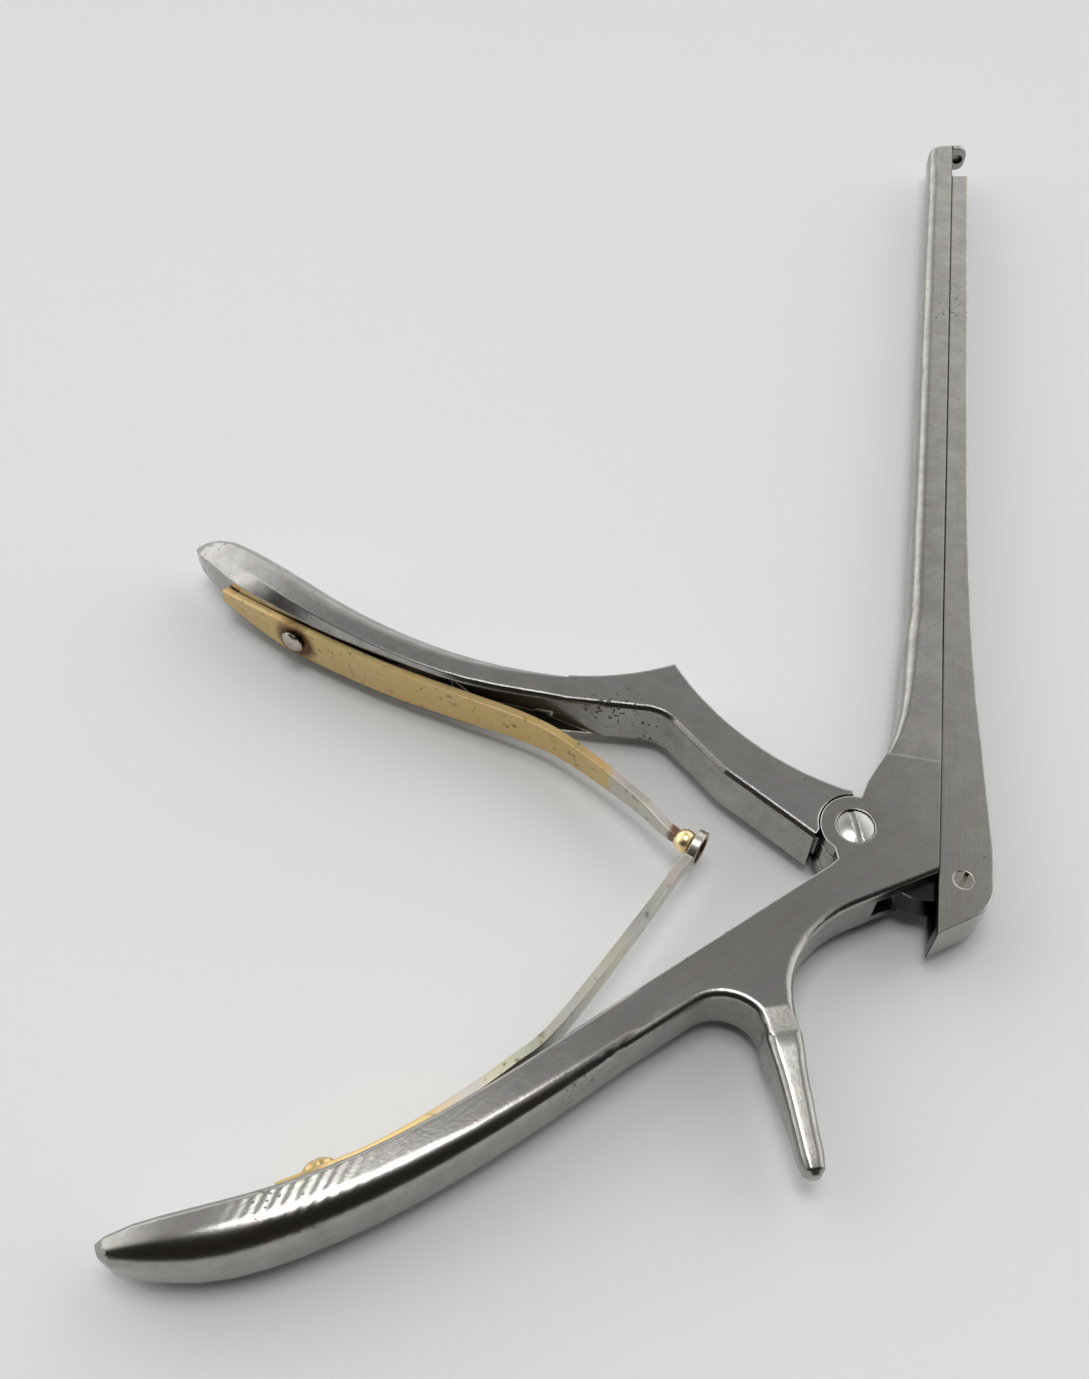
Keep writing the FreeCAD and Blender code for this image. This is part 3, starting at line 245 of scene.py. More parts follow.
def seam_distance(tree, place):
    """How far a place is from the line where the slide meets the rail."""
    across = add(tree, "ShaderNodeSeparateXYZ", Vector=place).outputs["X"]
    offset = math_node(tree, "SUBTRACT", across, from_pivot(SEAM, 0).x)
    return math_node(tree, "ABSOLUTE", offset)


def worn_steel(name, dark, pale, direction, shade_spot=None, rough=0.22, stain=0.30, pits=0.6):
    """Satin steel, ground along a direction in the plan. The shade spot is a place, and the reach of the
    painted shade round it.
    """
    material, tree, shader = new_material(name)
    place = add(tree, "ShaderNodeTexCoord").outputs["Object"]
    turned = add(tree, "ShaderNodeMapping", Vector=place,
                 Rotation=(0, 0, -math.radians(direction)))
    drawn = add(tree, "ShaderNodeMapping", Vector=turned.outputs["Vector"], Scale=(60, 2600, 2600))
    lines = add(tree, "ShaderNodeTexNoise", Vector=drawn.outputs["Vector"], Scale=1.0, Detail=3.0)
    patches = add(tree, "ShaderNodeTexNoise", Vector=place, Scale=220.0, Detail=8.0,
                  Roughness=0.75)
    grain = add(tree, "ShaderNodeTexNoise", Vector=place, Scale=2200.0, Detail=3.0)
    base = add(tree, "ShaderNodeMixRGB", Fac=ramp(tree, patches.outputs["Fac"], 0.35, 0.65),
               Color1=dark, Color2=pale)
    lined = add(tree, "ShaderNodeMixRGB", {"blend_type": "OVERLAY"}, Fac=0.16,
                Color1=base.outputs["Color"], Color2=lines.outputs["Color"])

    spots = add(tree, "ShaderNodeTexNoise", Vector=place, Scale=1300.0, Detail=2.0, Roughness=0.4)
    zones = add(tree, "ShaderNodeTexNoise", Vector=place, Scale=70.0, Detail=1.0)
    both = math_node(tree, "MULTIPLY", spots.outputs["Fac"], zones.outputs["Fac"])
    pit = ramp(tree, both, 0.445, 0.475, 0.0, pits)
    pitted = add(tree, "ShaderNodeMixRGB", Fac=pit, Color1=lined.outputs["Color"], Color2=PIT)

    tint = add(tree, "ShaderNodeTexNoise", Vector=place, Scale=90.0, Detail=5.0, Roughness=0.7,
               Distortion=0.4)
    brown = ramp(tree, tint.outputs["Fac"], 0.56, 0.80, 0.0, stain)
    stained = add(tree, "ShaderNodeMixRGB", Fac=brown, Color1=pitted.outputs["Color"],
                  Color2=BROWN_STAIN)

    # Painted shade: the ambient occlusion node darkens the colour in corners and gaps, where shade falls.
    corner = add(tree, "ShaderNodeAmbientOcclusion", {"samples": 8}, Distance=SHADE_REACH)
    darkening = ramp(tree, corner.outputs["AO"], 0.30, 0.70, 0.95, 0.0)
    # Painted shade: a round dark patch about the shade spot, which fades out at its reach.
    if shade_spot:
        spot, reach = shade_spot
        close = add(tree, "ShaderNodeVectorMath", {"operation": "DISTANCE"}, i0=place, i1=spot)
        spot_shade = ramp(tree, close.outputs["Value"], reach * 0.75, reach, 0.93, 0.0)
        darkening = math_node(tree, "MAXIMUM", darkening, spot_shade)
    darkened = add(tree, "ShaderNodeMixRGB", Fac=darkening, Color1=stained.outputs["Color"], Color2=PAINTED_SHADE)

    soft = add(tree, "ShaderNodeBevel", {"samples": 8}, Radius=EDGE_ROUND)
    solid = add(tree, "ShaderNodeNewGeometry").outputs["Normal"]
    facing = add(tree, "ShaderNodeVectorMath", {"operation": "DOT_PRODUCT"},
                 i0=soft.outputs["Normal"], i1=solid)
    away = seam_distance(tree, place)
    # Edges are painted lighter: partly wear, partly a painted highlight along the rounded edges. It fades
    # out near the seam.
    edge = ramp(tree, facing.outputs["Value"], 0.955, 0.86, 0.0, 0.35)
    wear_and_highlight = math_node(tree, "MULTIPLY", edge, ramp(tree, away, 0.0006, 0.0009))
    bright = add(tree, "ShaderNodeMixRGB", Fac=wear_and_highlight, Color1=darkened.outputs["Color"],
                 Color2=WORN_EDGE_HIGHLIGHT)
    # A black line of painted shadow marks the narrow gap where the slide meets the rail.
    seam = add(tree, "ShaderNodeMixRGB", Fac=ramp(tree, away, 0.00010, 0.00022, 1.0, 0.0),
               Color1=bright.outputs["Color"], Color2=SEAM_SHADOW)
    tree.links.new(seam.outputs["Color"], shader.inputs["Base Color"])
    shader.inputs["Metallic"].default_value = 1.0

    worn = ramp(tree, patches.outputs["Fac"], 0.3, 0.7, rough + 0.05, rough - 0.05)
    tree.links.new(math_node(tree, "MULTIPLY_ADD", pit, 0.3, worn), shader.inputs["Roughness"])

    scratches = add(tree, "ShaderNodeBump", Height=lines.outputs["Fac"], Strength=0.10,
                    Distance=0.00004, Normal=soft.outputs["Normal"])
    rough_skin = add(tree, "ShaderNodeBump", Height=grain.outputs["Fac"], Strength=0.20,
                     Distance=0.00004, Normal=scratches.outputs["Normal"])
    tree.links.new(rough_skin.outputs["Normal"], shader.inputs["Normal"])
    return material


frame_steel = worn_steel("FrameSteel", (0.30, 0.292, 0.268, 1), (0.40, 0.392, 0.368, 1), 48)
# The handle gets a round patch of painted shade about a place near the seam.
handle_steel = worn_steel("HandleSteel", (0.32, 0.312, 0.293, 1), (0.45, 0.441, 0.422, 1), -20,
                          shade_spot=(from_pivot(11.5, -9.5), 0.0062), stain=0.25, pits=0.8)
slide_steel = worn_steel("SlideSteel", (0.31, 0.30, 0.275, 1), (0.40, 0.39, 0.362, 1), 90,
                         stain=0.35)
print("steel finishes:", frame_steel.name, handle_steel.name, slide_steel.name)

# %% [markdown]
# The fixed palm grip was drawn across a grinding wheel, and the last strokes left a row of
# shallow ripples across its top. They only show where light strikes along them.

# %% Ripples on the fixed grip
RIPPLES = from_pivot(-66.5, -63.5, 5.0)
tree = frame_steel.node_tree
shader = tree.nodes["Principled BSDF"]
last = shader.inputs["Normal"].links[0].from_socket
place = add(tree, "ShaderNodeTexCoord").outputs["Object"]
local = add(tree, "ShaderNodeVectorMath", {"operation": "SUBTRACT"}, i0=place, i1=RIPPLES)
far = add(tree, "ShaderNodeVectorMath", {"operation": "LENGTH"}, i0=local.outputs["Vector"])
turned = add(tree, "ShaderNodeMapping", Vector=local.outputs["Vector"],
             Rotation=(0, 0, math.radians(12)))
strokes = add(tree, "ShaderNodeTexWave", {"wave_type": "BANDS", "bands_direction": "X"},
              Vector=turned.outputs["Vector"], Scale=240.0, Distortion=1.2, Detail=1.0)
shown = math_node(tree, "MULTIPLY", strokes.outputs["Fac"],
                  ramp(tree, far.outputs["Value"], 0.005, 0.012, 1.0, 0.0))
ripple = add(tree, "ShaderNodeBump", Height=shown, Strength=0.35,
             Distance=0.00005, Normal=last)
tree.links.new(ripple.outputs["Normal"], shader.inputs["Normal"])
print("ripples about", [round(v, 4) for v in RIPPLES])


# %% [markdown]
# ## Plated springs
# The leaf springs are spring steel with a thin gold-coloured plating. Where the leaves
# rub and bend it has gone, and the silver steel shows. One material carries both metals
# and a mask along the leaf chooses between them. Rust lies round the screw, and the eye is
# brown inside. The distance from a place makes each of these, so the other leaf's end
# beside the ball gets some brown too, more than the real one has.


# %% Plated spring finish
GOLD = (0.66, 0.475, 0.205, 1)
SILVER = (0.57, 0.55, 0.505, 1)
WORN_GOLD = (0.66, 0.55, 0.33, 1)
SPOT = (0.16, 0.10, 0.05, 1)
RUST = (0.10, 0.035, 0.012, 1)
BROWN_END = (0.14, 0.055, 0.02, 1)
# The colour of the painted shade in the leaf's corners.
LEAF_SHADE = (0.10, 0.055, 0.025, 1)
WANDER = 0.35


def plated(name, gold_end, silver_end, screw, rust, end):
    """Gold plating that turns silver between two places along X, with rust by a screw."""
    material, tree, shader = new_material(name)
    place = add(tree, "ShaderNodeTexCoord").outputs["Object"]
    along = add(tree, "ShaderNodeSeparateXYZ", Vector=place).outputs["X"]
    wander = add(tree, "ShaderNodeTexNoise", Vector=place, Scale=260.0, Detail=5.0, Roughness=0.65)
    share = ramp(tree, along, gold_end, silver_end)
    uneven = math_node(tree, "MULTIPLY_ADD", wander.outputs["Fac"], WANDER, share)
    mask = ramp(tree, uneven, WANDER / 2 + 0.25, WANDER / 2 + 0.65)
    metal = add(tree, "ShaderNodeMixRGB", Fac=mask, Color1=GOLD, Color2=SILVER)
    cloud = add(tree, "ShaderNodeTexNoise", Vector=place, Scale=120.0, Detail=6.0, Roughness=0.7)
    thin = ramp(tree, cloud.outputs["Fac"], 0.42, 0.72, 0.0, 0.5)
    clouded = add(tree, "ShaderNodeMixRGB", Fac=thin, Color1=metal.outputs["Color"],
                  Color2=WORN_GOLD)
    drawn = add(tree, "ShaderNodeMapping", Vector=place, Scale=(90, 90, 2600))
    lines = add(tree, "ShaderNodeTexNoise", Vector=drawn.outputs["Vector"], Scale=1.0, Detail=4.0)
    lined = add(tree, "ShaderNodeMixRGB", {"blend_type": "OVERLAY"}, Fac=0.22,
                Color1=clouded.outputs["Color"], Color2=lines.outputs["Color"])
    spots = add(tree, "ShaderNodeTexNoise", Vector=place, Scale=700.0, Detail=4.0)
    dark = ramp(tree, spots.outputs["Fac"], 0.61, 0.71, 0.0, 0.7)
    spotted = add(tree, "ShaderNodeMixRGB", Fac=dark, Color1=lined.outputs["Color"], Color2=SPOT)
    # Painted shade: the ambient occlusion node darkens the plating's colour in corners, where shade falls.
    corner = add(tree, "ShaderNodeAmbientOcclusion", {"samples": 8}, Distance=0.002)
    from_screw = add(tree, "ShaderNodeVectorMath", {"operation": "DISTANCE"}, i0=place, i1=screw)
    ragged = math_node(tree, "MULTIPLY_ADD", wander.outputs["Fac"], 0.0022,
                       from_screw.outputs["Value"])
    rusty = add(tree, "ShaderNodeMixRGB", Fac=ramp(tree, ragged, 0.0040, 0.0054, rust, 0.0),
                Color1=spotted.outputs["Color"], Color2=RUST)
    from_end = add(tree, "ShaderNodeVectorMath", {"operation": "DISTANCE"}, i0=place, i1=end)
    at_end = ramp(tree, from_end.outputs["Value"], 0.0022, 0.0027, 0.85, 0.0)
    inside = add(tree, "ShaderNodeMixRGB", Fac=at_end, Color1=rusty.outputs["Color"],
                 Color2=BROWN_END)
    darkening = ramp(tree, corner.outputs["AO"], 0.25, 0.7, 0.8, 0.0)
    darkened = add(tree, "ShaderNodeMixRGB", Fac=darkening, Color1=inside.outputs["Color"],
                Color2=LEAF_SHADE)
    tree.links.new(darkened.outputs["Color"], shader.inputs["Base Color"])
    shader.inputs["Metallic"].default_value = 1.0
    roughness = ramp(tree, lines.outputs["Fac"], 0.0, 1.0, 0.26, 0.42)
    tree.links.new(roughness, shader.inputs["Roughness"])
    soft = add(tree, "ShaderNodeBevel", {"samples": 8}, Radius=0.0002)
    bump = add(tree, "ShaderNodeBump", Height=lines.outputs["Fac"], Strength=0.12,
               Distance=0.00004, Normal=soft.outputs["Normal"])
    tree.links.new(bump.outputs["Normal"], shader.inputs["Normal"])
    return material


upper_plating = plated("UpperLeafPlating", from_pivot(-38, 0).x, from_pivot(-35, 0).x,
                       screw=from_pivot(-91.0, 20.5), rust=0.95, end=from_pivot(-24.5, -4.0))
lower_plating = plated("LowerLeafPlating", from_pivot(-56, 0).x, from_pivot(-42, 0).x,
                       screw=from_pivot(-62.9, -63.8), rust=0.3, end=from_pivot(-22.3, -5.7))
print("springs:", upper_plating.name, lower_plating.name)


# %% [markdown]
# ## Screws and the ball
# Most of the small turned pieces are brighter than the forgings, because they are polished
# or plated. Their finish is the same idea at a smaller scale: a colour, rings from turning,
# and some dirt in patches.


# %% Turned pieces
SMUT = (0.10, 0.065, 0.035, 1)


def turned_metal(name, colour, rough, darkening, centre):
    """Polished metal with turning rings about an upright axis through the centre."""
    material, tree, shader = new_material(name)
    place = add(tree, "ShaderNodeTexCoord").outputs["Object"]
    local = add(tree, "ShaderNodeVectorMath", {"operation": "SUBTRACT"}, i0=place, i1=centre)
    rings = add(tree, "ShaderNodeTexWave", {"wave_type": "RINGS", "rings_direction": "Z"},
                Vector=local.outputs["Vector"], Scale=900.0, Distortion=1.5, Detail=2.0)
    smudge = add(tree, "ShaderNodeTexNoise", Vector=place, Scale=500.0, Detail=4.0)
    darkened = ramp(tree, smudge.outputs["Fac"], 0.52, 0.72, 0.0, darkening)
    mixed = add(tree, "ShaderNodeMixRGB", Fac=darkened, Color1=colour, Color2=SMUT)
    tree.links.new(mixed.outputs["Color"], shader.inputs["Base Color"])
    shader.inputs["Metallic"].default_value = 1.0
    rougher = ramp(tree, smudge.outputs["Fac"], 0.0, 1.0, rough * 0.8, rough * 1.3)
    tree.links.new(rougher, shader.inputs["Roughness"])
    soft = add(tree, "ShaderNodeBevel", {"samples": 6}, Radius=0.00012)
    bump = add(tree, "ShaderNodeBump", Height=rings.outputs["Fac"], Strength=0.05,
               Distance=0.00003, Normal=soft.outputs["Normal"])
    tree.links.new(bump.outputs["Normal"], shader.inputs["Normal"])
    return material


def middle_of(node):
    """The middle of a node's box."""
    low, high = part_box(node)
    return (low + high) / 2


# For each: its finish's name, colour, roughness and share of dirt.
TURNED = {
    "pivot_screw": ("PivotScrewNickel", (0.50, 0.49, 0.455, 1), 0.27, 0.35),
    "drive_screw": ("DriveScrewSteel", (0.30, 0.285, 0.25, 1), 0.33, 0.5),
    "upper_leaf_screw": ("UpperLeafScrewNickel", (0.52, 0.47, 0.42, 1), 0.16, 0.6),
    "lower_leaf_screw": ("LowerLeafScrewBrass", (0.66, 0.48, 0.22, 1), 0.25, 0.4),
    "spring_ball": ("BallBrass", (1.0, 0.81, 0.45, 1), 0.32, 0.02),
}
finishes = {"frame": frame_steel, "moving_handle": handle_steel, "slide": slide_steel,
            "upper_leaf": upper_plating, "lower_leaf": lower_plating}
for node, (name, colour, rough, darkening) in TURNED.items():
    finishes[node] = turned_metal(name, colour, rough, darkening, middle_of(node))
for name, material in finishes.items():
    slots = nodes[name].data.materials
    slots.clear()
    slots.append(material)
print("finished nodes:", len(finishes))

# %% [markdown]
# ## Smooth grips and screws
# The solids come as meshes of small flat faces. A forged grip has none, so each rounded
# piece gets a copy whose close faces share their normals, while corners stay sharp. Slivers
# are joined to their neighbours first, and large faces count most in the normals, which
# keeps flats flat.


# %% Smooth copies
SAME_PLACE = 1e-6
FLAT = math.radians(0.4)
NEARLY_FLAT = math.radians(20)
ANY_SHAPE = math.radians(180)


def plain_mesh(source, name):
    """The source with its modifiers, as a plain mesh in a new object."""
    graph = bpy.context.evaluated_depsgraph_get()
    made = bpy.data.meshes.new_from_object(source.evaluated_get(graph))
    result = bpy.data.objects.new(name, made)
    bpy.context.scene.collection.objects.link(result)
    bpy.data.objects.remove(source)
    return result


def smooth_copy(node, corner):
    """A smooth-shaded copy of a node, in its place. Bends over the corner angle stay sharp."""
    original = nodes[node]
    copied = original.data.copy()
    copied.transform(original.matrix_world)
    work = bmesh.new()
    work.from_mesh(copied)
    bmesh.ops.remove_doubles(work, verts=work.verts, dist=SAME_PLACE)
    bmesh.ops.dissolve_limit(work, angle_limit=FLAT, verts=work.verts, edges=work.edges)
    bmesh.ops.join_triangles(work, faces=work.faces, angle_face_threshold=NEARLY_FLAT,
                             angle_shape_threshold=ANY_SHAPE)
    for face in work.faces:
        face.smooth = True
    work.to_mesh(copied)
    work.free()
    copied.set_sharp_from_angle(angle=math.radians(corner))
    draft = bpy.data.objects.new("Draft", copied)
    bpy.context.scene.collection.objects.link(draft)
    weighted = draft.modifiers.new("Weighted", "WEIGHTED_NORMAL")
    weighted.keep_sharp = True
    result = plain_mesh(draft, node + "_smooth")
    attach(result, body_of(original)[0])
    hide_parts(node)
    return result


# The corner angle of each, in degrees.
CORNERS = {"frame": 24, "moving_handle": 17, "pivot_screw": 30, "upper_leaf_screw": 30,
           "lower_leaf_screw": 30, "spring_ball": 30}
for node, corner in CORNERS.items():
    result = smooth_copy(node, corner)
    print(result.name, len(result.data.polygons), "faces")

# %% [markdown]
# ## Leaf springs as swept strips
# A leaf spring is a strip that follows a path: its thickness stays the same, its width
# tapers along the way. So a Geometry Nodes tree sweeps a flat rectangle along the path and
# then scales each cross-section's width by the value stored on the path. The screw hole is
# cut last. A strip like this can be bent along its length when the handles close.

# %% Paths of the springs
# Each point is a place from the pivot and half the leaf's width there, in millimetres.
LEAF_THICKNESS = 1.3
BUTT_THICKNESS = 0.8
UPPER_PATH = [(-105.0, 28.0, 1.3), (-98.0, 24.43, 2.7), (-91.0, 21.4, 3.48),
              (-76.0, 16.7, 3.48), (-62.0, 13.7, 3.3), (-51.0, 11.4, 2.98),
              (-43.0, 8.3, 2.56), (-32.0, 1.6, 1.95), (-26.6, -2.7, 1.38)]
LOWER_PATH = [(-68.0, -66.6, 2.4), (-62.9, -63.8, 3.48), (-57.1, -59.8, 3.48),
              (-49.8, -53.3, 3.35), (-42.0, -44.7, 3.0), (-37.0, -37.9, 2.67),
              (-27.6, -18.5, 1.88), (-24.2, -10.8, 1.62)]
EYE = (-22.3, -5.7)
EYE_RADIUS = 2.9
EYE_HOLE = 2.0
EYE_OVERLAP = 0.3
NECK_HALF = {"ball": 0.78, "eye": 1.5}


def square_to(before, after):
    """A unit vector to the left of the way from one place to another, in the plan."""
    along = Vector((after[0] - before[0], after[1] - before[1])).normalized()
    return Vector((-along.y, along.x))


def middle_path(path, side, depths):
    """The path moved to the middle of the strip, half a thickness to one side."""
    result = []
    for i, (x, y, half) in enumerate(path):
        left = square_to(path[max(i - 1, 0)], path[min(i + 1, len(path) - 1)])
        place = Vector((x, y)) + left * side * depths[i] / 2
        result.append((place.x, place.y, half))
    return result


between = (BUTT_THICKNESS + LEAF_THICKNESS) / 2
upper_depths = [BUTT_THICKNESS] * 3 + [between] + [LEAF_THICKNESS] * 5
upper_middle = middle_path(UPPER_PATH, -1, upper_depths)
lower_middle = middle_path(LOWER_PATH, 1, [LEAF_THICKNESS] * len(LOWER_PATH))
ball = (middle_of("spring_ball") - PIVOT) * 1000
upper_middle.append((ball.x, ball.y, NECK_HALF["ball"]))
eye_left = square_to(LOWER_PATH[-1], EYE)
eye_along = Vector((eye_left.y, -eye_left.x))
eye_edge = Vector(EYE) - eye_along * (EYE_HOLE + EYE_OVERLAP)
lower_middle.append((eye_edge.x, eye_edge.y, NECK_HALF["eye"]))
print("path points:", len(upper_middle), len(lower_middle))


# %% The tree that sweeps a strip
SECTION_HALF = 0.001
DRILL_LENGTH = 0.01


def strip_tree(name, with_eye):
    """Sweeps a strip along a path whose points carry half the strip's width as radius."""
    group = bpy.data.node_groups.new(name, "GeometryNodeTree")
    sockets = [("Path", "NodeSocketGeometry"), ("Steps", "NodeSocketInt"),
               ("Thickness", "NodeSocketFloat"), ("Level", "NodeSocketFloat"),
               ("Hole Place", "NodeSocketVector"), ("Hole Turn", "NodeSocketVector"),
               ("Hole Radius", "NodeSocketFloat"), ("Eye Place", "NodeSocketVector"),
               ("Eye Turn", "NodeSocketVector"), ("Finish", "NodeSocketMaterial")]
    for label, kind in sockets:
        group.interface.new_socket(label, in_out="INPUT", socket_type=kind)
    group.interface.new_socket("Strip", in_out="OUTPUT", socket_type="NodeSocketGeometry")
    start = group.nodes.new("NodeGroupInput").outputs
    smooth = add(group, "GeometryNodeCurveSplineType", {"spline_type": "CATMULL_ROM"},
                 Curve=start["Path"])
    even = add(group, "GeometryNodeResampleCurve", Curve=smooth.outputs["Curve"],
               Count=start["Steps"])
    kept = add(group, "GeometryNodeStoreNamedAttribute", {"data_type": "FLOAT", "domain": "POINT"},
               Geometry=even.outputs["Curve"], Name="half_width",
               Value=group.nodes.new("GeometryNodeInputRadius").outputs["Radius"])
    upright = add(group, "GeometryNodeSetCurveNormal", {"mode": "Z_UP"},
                  Curve=kept.outputs["Geometry"])
    section = add(group, "GeometryNodeCurvePrimitiveQuadrilateral", Width=start["Thickness"],
                  Height=2 * SECTION_HALF)
    swept = add(group, "GeometryNodeCurveToMesh", Curve=upright.outputs["Curve"],
                Profile_Curve=section.outputs["Curve"], Fill_Caps=True)
    half = add(group, "GeometryNodeInputNamedAttribute", {"data_type": "FLOAT"}, Name="half_width")
    position = group.nodes.new("GeometryNodeInputPosition").outputs["Position"]
    parts = add(group, "ShaderNodeSeparateXYZ", Vector=position)
    above = math_node(group, "SUBTRACT", parts.outputs["Z"], start["Level"])
    scale = math_node(group, "DIVIDE", half.outputs["Attribute"], SECTION_HALF)
    risen = math_node(group, "MULTIPLY_ADD", above, scale, start["Level"])
    place = add(group, "ShaderNodeCombineXYZ", X=parts.outputs["X"], Y=parts.outputs["Y"], Z=risen)
    strip = add(group, "GeometryNodeSetPosition", Geometry=swept.outputs["Mesh"],
                Position=place.outputs["Vector"]).outputs["Geometry"]
    if with_eye:
        around = add(group, "GeometryNodeCurvePrimitiveCircle", Resolution=48,
                     Radius=(EYE_RADIUS + EYE_HOLE) / 2000)
        flat = add(group, "GeometryNodeCurvePrimitiveQuadrilateral",
                   Width=(EYE_RADIUS - EYE_HOLE) / 1000, Height=start["Thickness"])
        ring = add(group, "GeometryNodeCurveToMesh", Curve=around.outputs["Curve"],
                   Profile_Curve=flat.outputs["Curve"])
        stood = add(group, "GeometryNodeTransform", Geometry=ring.outputs["Mesh"],
                    Translation=start["Eye Place"], Rotation=start["Eye Turn"])
        joined = add(group, "GeometryNodeMeshBoolean", {"operation": "UNION", "solver": "EXACT"})
        group.links.new(strip, joined.inputs["Mesh 2"])
        group.links.new(stood.outputs["Geometry"], joined.inputs["Mesh 2"])
        strip = joined.outputs["Mesh"]
    drill = add(group, "GeometryNodeMeshCylinder", Vertices=32, Radius=start["Hole Radius"],
                Depth=DRILL_LENGTH)
    placed = add(group, "GeometryNodeTransform", Geometry=drill.outputs["Mesh"],
                 Translation=start["Hole Place"], Rotation=start["Hole Turn"])
    cut = add(group, "GeometryNodeMeshBoolean", {"operation": "DIFFERENCE", "solver": "EXACT"},
              Mesh_1=strip, Mesh_2=placed.outputs["Geometry"])
    real = add(group, "GeometryNodeRealizeInstances", Geometry=cut.outputs["Mesh"])
    painted = add(group, "GeometryNodeSetMaterial", Geometry=real.outputs["Geometry"],
                  Material=start["Finish"])
    end = group.nodes.new("NodeGroupOutput")
    group.links.new(painted.outputs["Geometry"], end.inputs["Strip"])
    return group


# %% Build the two springs
STRIP_STEPS = 72
SCREW_HOLE = 0.00156
EDGE = math.radians(30)


def leaf_spring(node, path, screw, finish, with_eye):
    """A swept strip in the place of a leaf's node, with its hole at a screw."""
    curve = bpy.data.curves.new(node + "_path", "CURVE")
    curve.dimensions = "3D"
    spline = curve.splines.new("POLY")
    spline.points.add(len(path) - 1)
    for point, (x, y, half) in zip(spline.points, path):
        point.co = (*from_pivot(x, y), 1.0)
        point.radius = half / 1000
    holder = bpy.data.objects.new(node + "_path", curve)
    bpy.context.scene.collection.objects.link(holder)
    group = strip_tree(node + "_sweep", with_eye)
    sweep = holder.modifiers.new("Sweep", "NODES")
    sweep.node_group = group
    names = {item.name: item.identifier for item in group.interface.items_tree}
    across = square_to(path[0], path[2])
    upright = Vector((0, 0, 1)).rotation_difference(Vector((across.x, across.y, 0))).to_euler()
    facing = Vector((0, 0, 1)).rotation_difference(Vector((eye_left.x, eye_left.y, 0))).to_euler()
    values = {"Steps": STRIP_STEPS, "Thickness": LEAF_THICKNESS / 1000, "Level": PIVOT.z,
              "Hole Place": middle_of(screw), "Hole Turn": upright, "Hole Radius": SCREW_HOLE,
              "Eye Place": from_pivot(*EYE), "Eye Turn": facing, "Finish": finish}
    for label, value in values.items():
        sweep[names[label]] = value
    result = plain_mesh(holder, node + "_strip")
    result.data.set_sharp_from_angle(angle=EDGE)
    return result


upper_strip = leaf_spring("upper_leaf", upper_middle, "upper_leaf_screw", upper_plating, False)
lower_strip = leaf_spring("lower_leaf", lower_middle, "lower_leaf_screw", lower_plating, True)
for strip, node in ((upper_strip, "upper_leaf"), (lower_strip, "lower_leaf")):
    low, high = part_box(node)
    corners = [strip.matrix_world @ Vector(corner) for corner in strip.bound_box]
    lowest = [round(min(c[i] for c in corners) * 1000, 2) for i in range(3)]
    highest = [round(max(c[i] for c in corners) * 1000, 2) for i in range(3)]
    print(node, "solid", [round(v * 1000, 2) for v in (*low, *high)])
    print(node, "strip", lowest, highest, len(strip.data.polygons), "faces")

# %% [markdown]
# The springs bend, so each strip follows its handle near the screw and the leaf's own
# body at the far end, and turns smoothly between them.

# %% Bend the springs
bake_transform(upper_strip, "handle", "upper_spring", from_pivot(-84, 19), from_pivot(-50, 11))
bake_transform(lower_strip, "frame", "lower_spring", from_pivot(-58, -60.5), from_pivot(-37, -37.9))
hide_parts("upper_leaf")
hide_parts("lower_leaf")
print("bent between bodies:", upper_strip.name, lower_strip.name)

# %% [markdown]
# ## Light
# Polished steel shows the room around it, so most of its look comes from the world. This
# room is pale, with two brighter walls, and gets darker towards the top, but for a patch
# round its one soft lamp. The near side is dark, and the rounded edges of the grips show
# it as a black band.

# %% World
# The room's level at each height, from the horizon to straight up.
LEVELS = [(0.0, 1.0), (0.35, 0.95), (0.58, 0.72), (0.78, 0.44), (0.93, 0.30), (1.0, 0.6)]
NEAR_SIDE = (0.20, -0.98, 0.0)
NEAR_DARK = (0.035, 0.030, 0.026, 1)
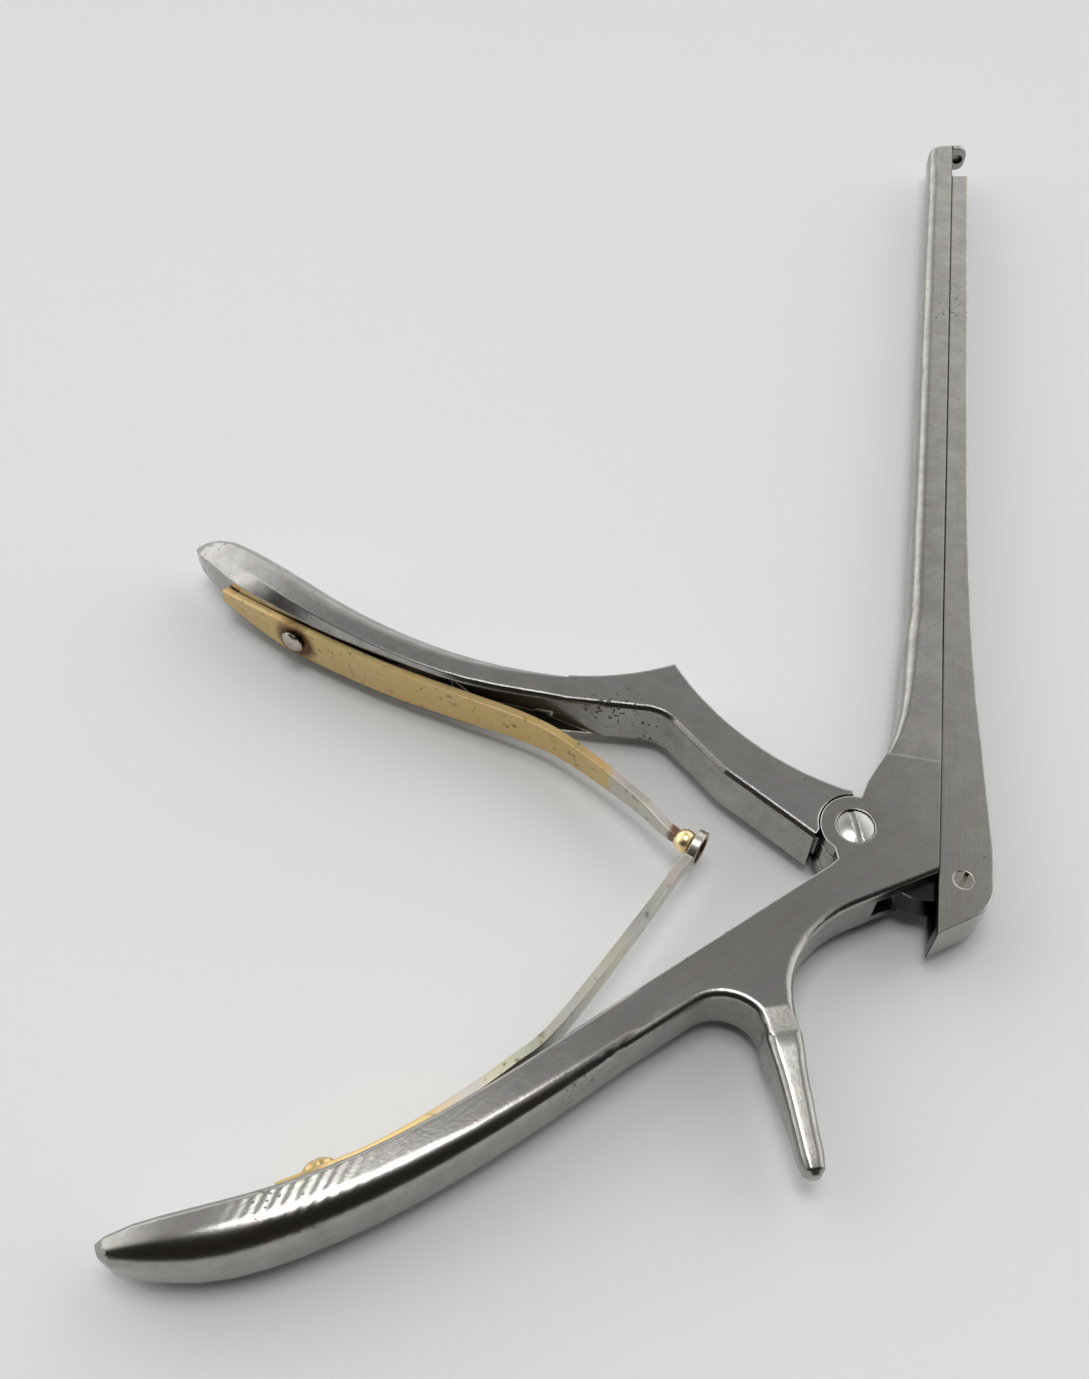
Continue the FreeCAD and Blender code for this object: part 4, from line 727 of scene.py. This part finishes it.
# For each bright wall: the way to it, and where it starts to brighten.
WALLS = [((-0.96, 0.28, 0.0), 0.35), ((0.85, 0.52, 0.0), 0.40)]
WORLD_STRENGTH = 0.86

world = bpy.data.worlds.new("SoftRoom")
bpy.context.scene.world = world
world.use_nodes = True
tree = world.node_tree
background = tree.nodes["Background"]
direction = add(tree, "ShaderNodeTexCoord").outputs["Generated"]
height = add(tree, "ShaderNodeSeparateXYZ", Vector=direction).outputs["Z"]
room = add(tree, "ShaderNodeValToRGB", Fac=height)
points = room.color_ramp.elements
while len(points) < len(LEVELS):
    points.new(0.5)
for point, (position, level) in zip(points, LEVELS):
    point.position = position
    point.color = grey(level)


def facing(tree, way):
    """How far a direction of the world points a given way."""
    return add(tree, "ShaderNodeVectorMath", {"operation": "DOT_PRODUCT"}, i0=direction,
               i1=way).outputs["Value"]


colour = room.outputs["Color"]
for way, start in WALLS:
    colour = add(tree, "ShaderNodeMixRGB", {"blend_type": "ADD"}, Color1=colour, Color2=grey(1.0),
                 Fac=ramp(tree, facing(tree, way), start, 0.75)).outputs["Color"]
dark_part = math_node(tree, "MULTIPLY", ramp(tree, facing(tree, NEAR_SIDE), 0.08, 0.26),
                      ramp(tree, height, 0.99, 0.95))
dark_part = math_node(tree, "MULTIPLY", dark_part, ramp(tree, height, 0.0, 0.05))
seen = add(tree, "ShaderNodeMixRGB", Fac=dark_part, Color1=colour, Color2=NEAR_DARK)
tree.links.new(seen.outputs["Color"], background.inputs["Color"])
background.inputs["Strength"].default_value = WORLD_STRENGTH
print("world strength:", WORLD_STRENGTH)


# %% Lamps
def soft_lamp(name, place, aim, size, power):
    """A square area lamp that points at a place."""
    data = bpy.data.lights.new(name, "AREA")
    data.size = size
    data.energy = power
    lamp = bpy.data.objects.new(name, data)
    direction = Vector(aim) - Vector(place)
    lamp.rotation_mode = "QUATERNION"
    lamp.rotation_quaternion = direction.to_track_quat("-Z", "Y")
    lamp.location = place
    bpy.context.scene.collection.objects.link(lamp)
    print(name, "lamp at", place, "with", power, "W")


soft_lamp("Ceiling", (-0.02, -0.05, 1.0), aim=(0, 0, 0), size=0.42, power=2.95)
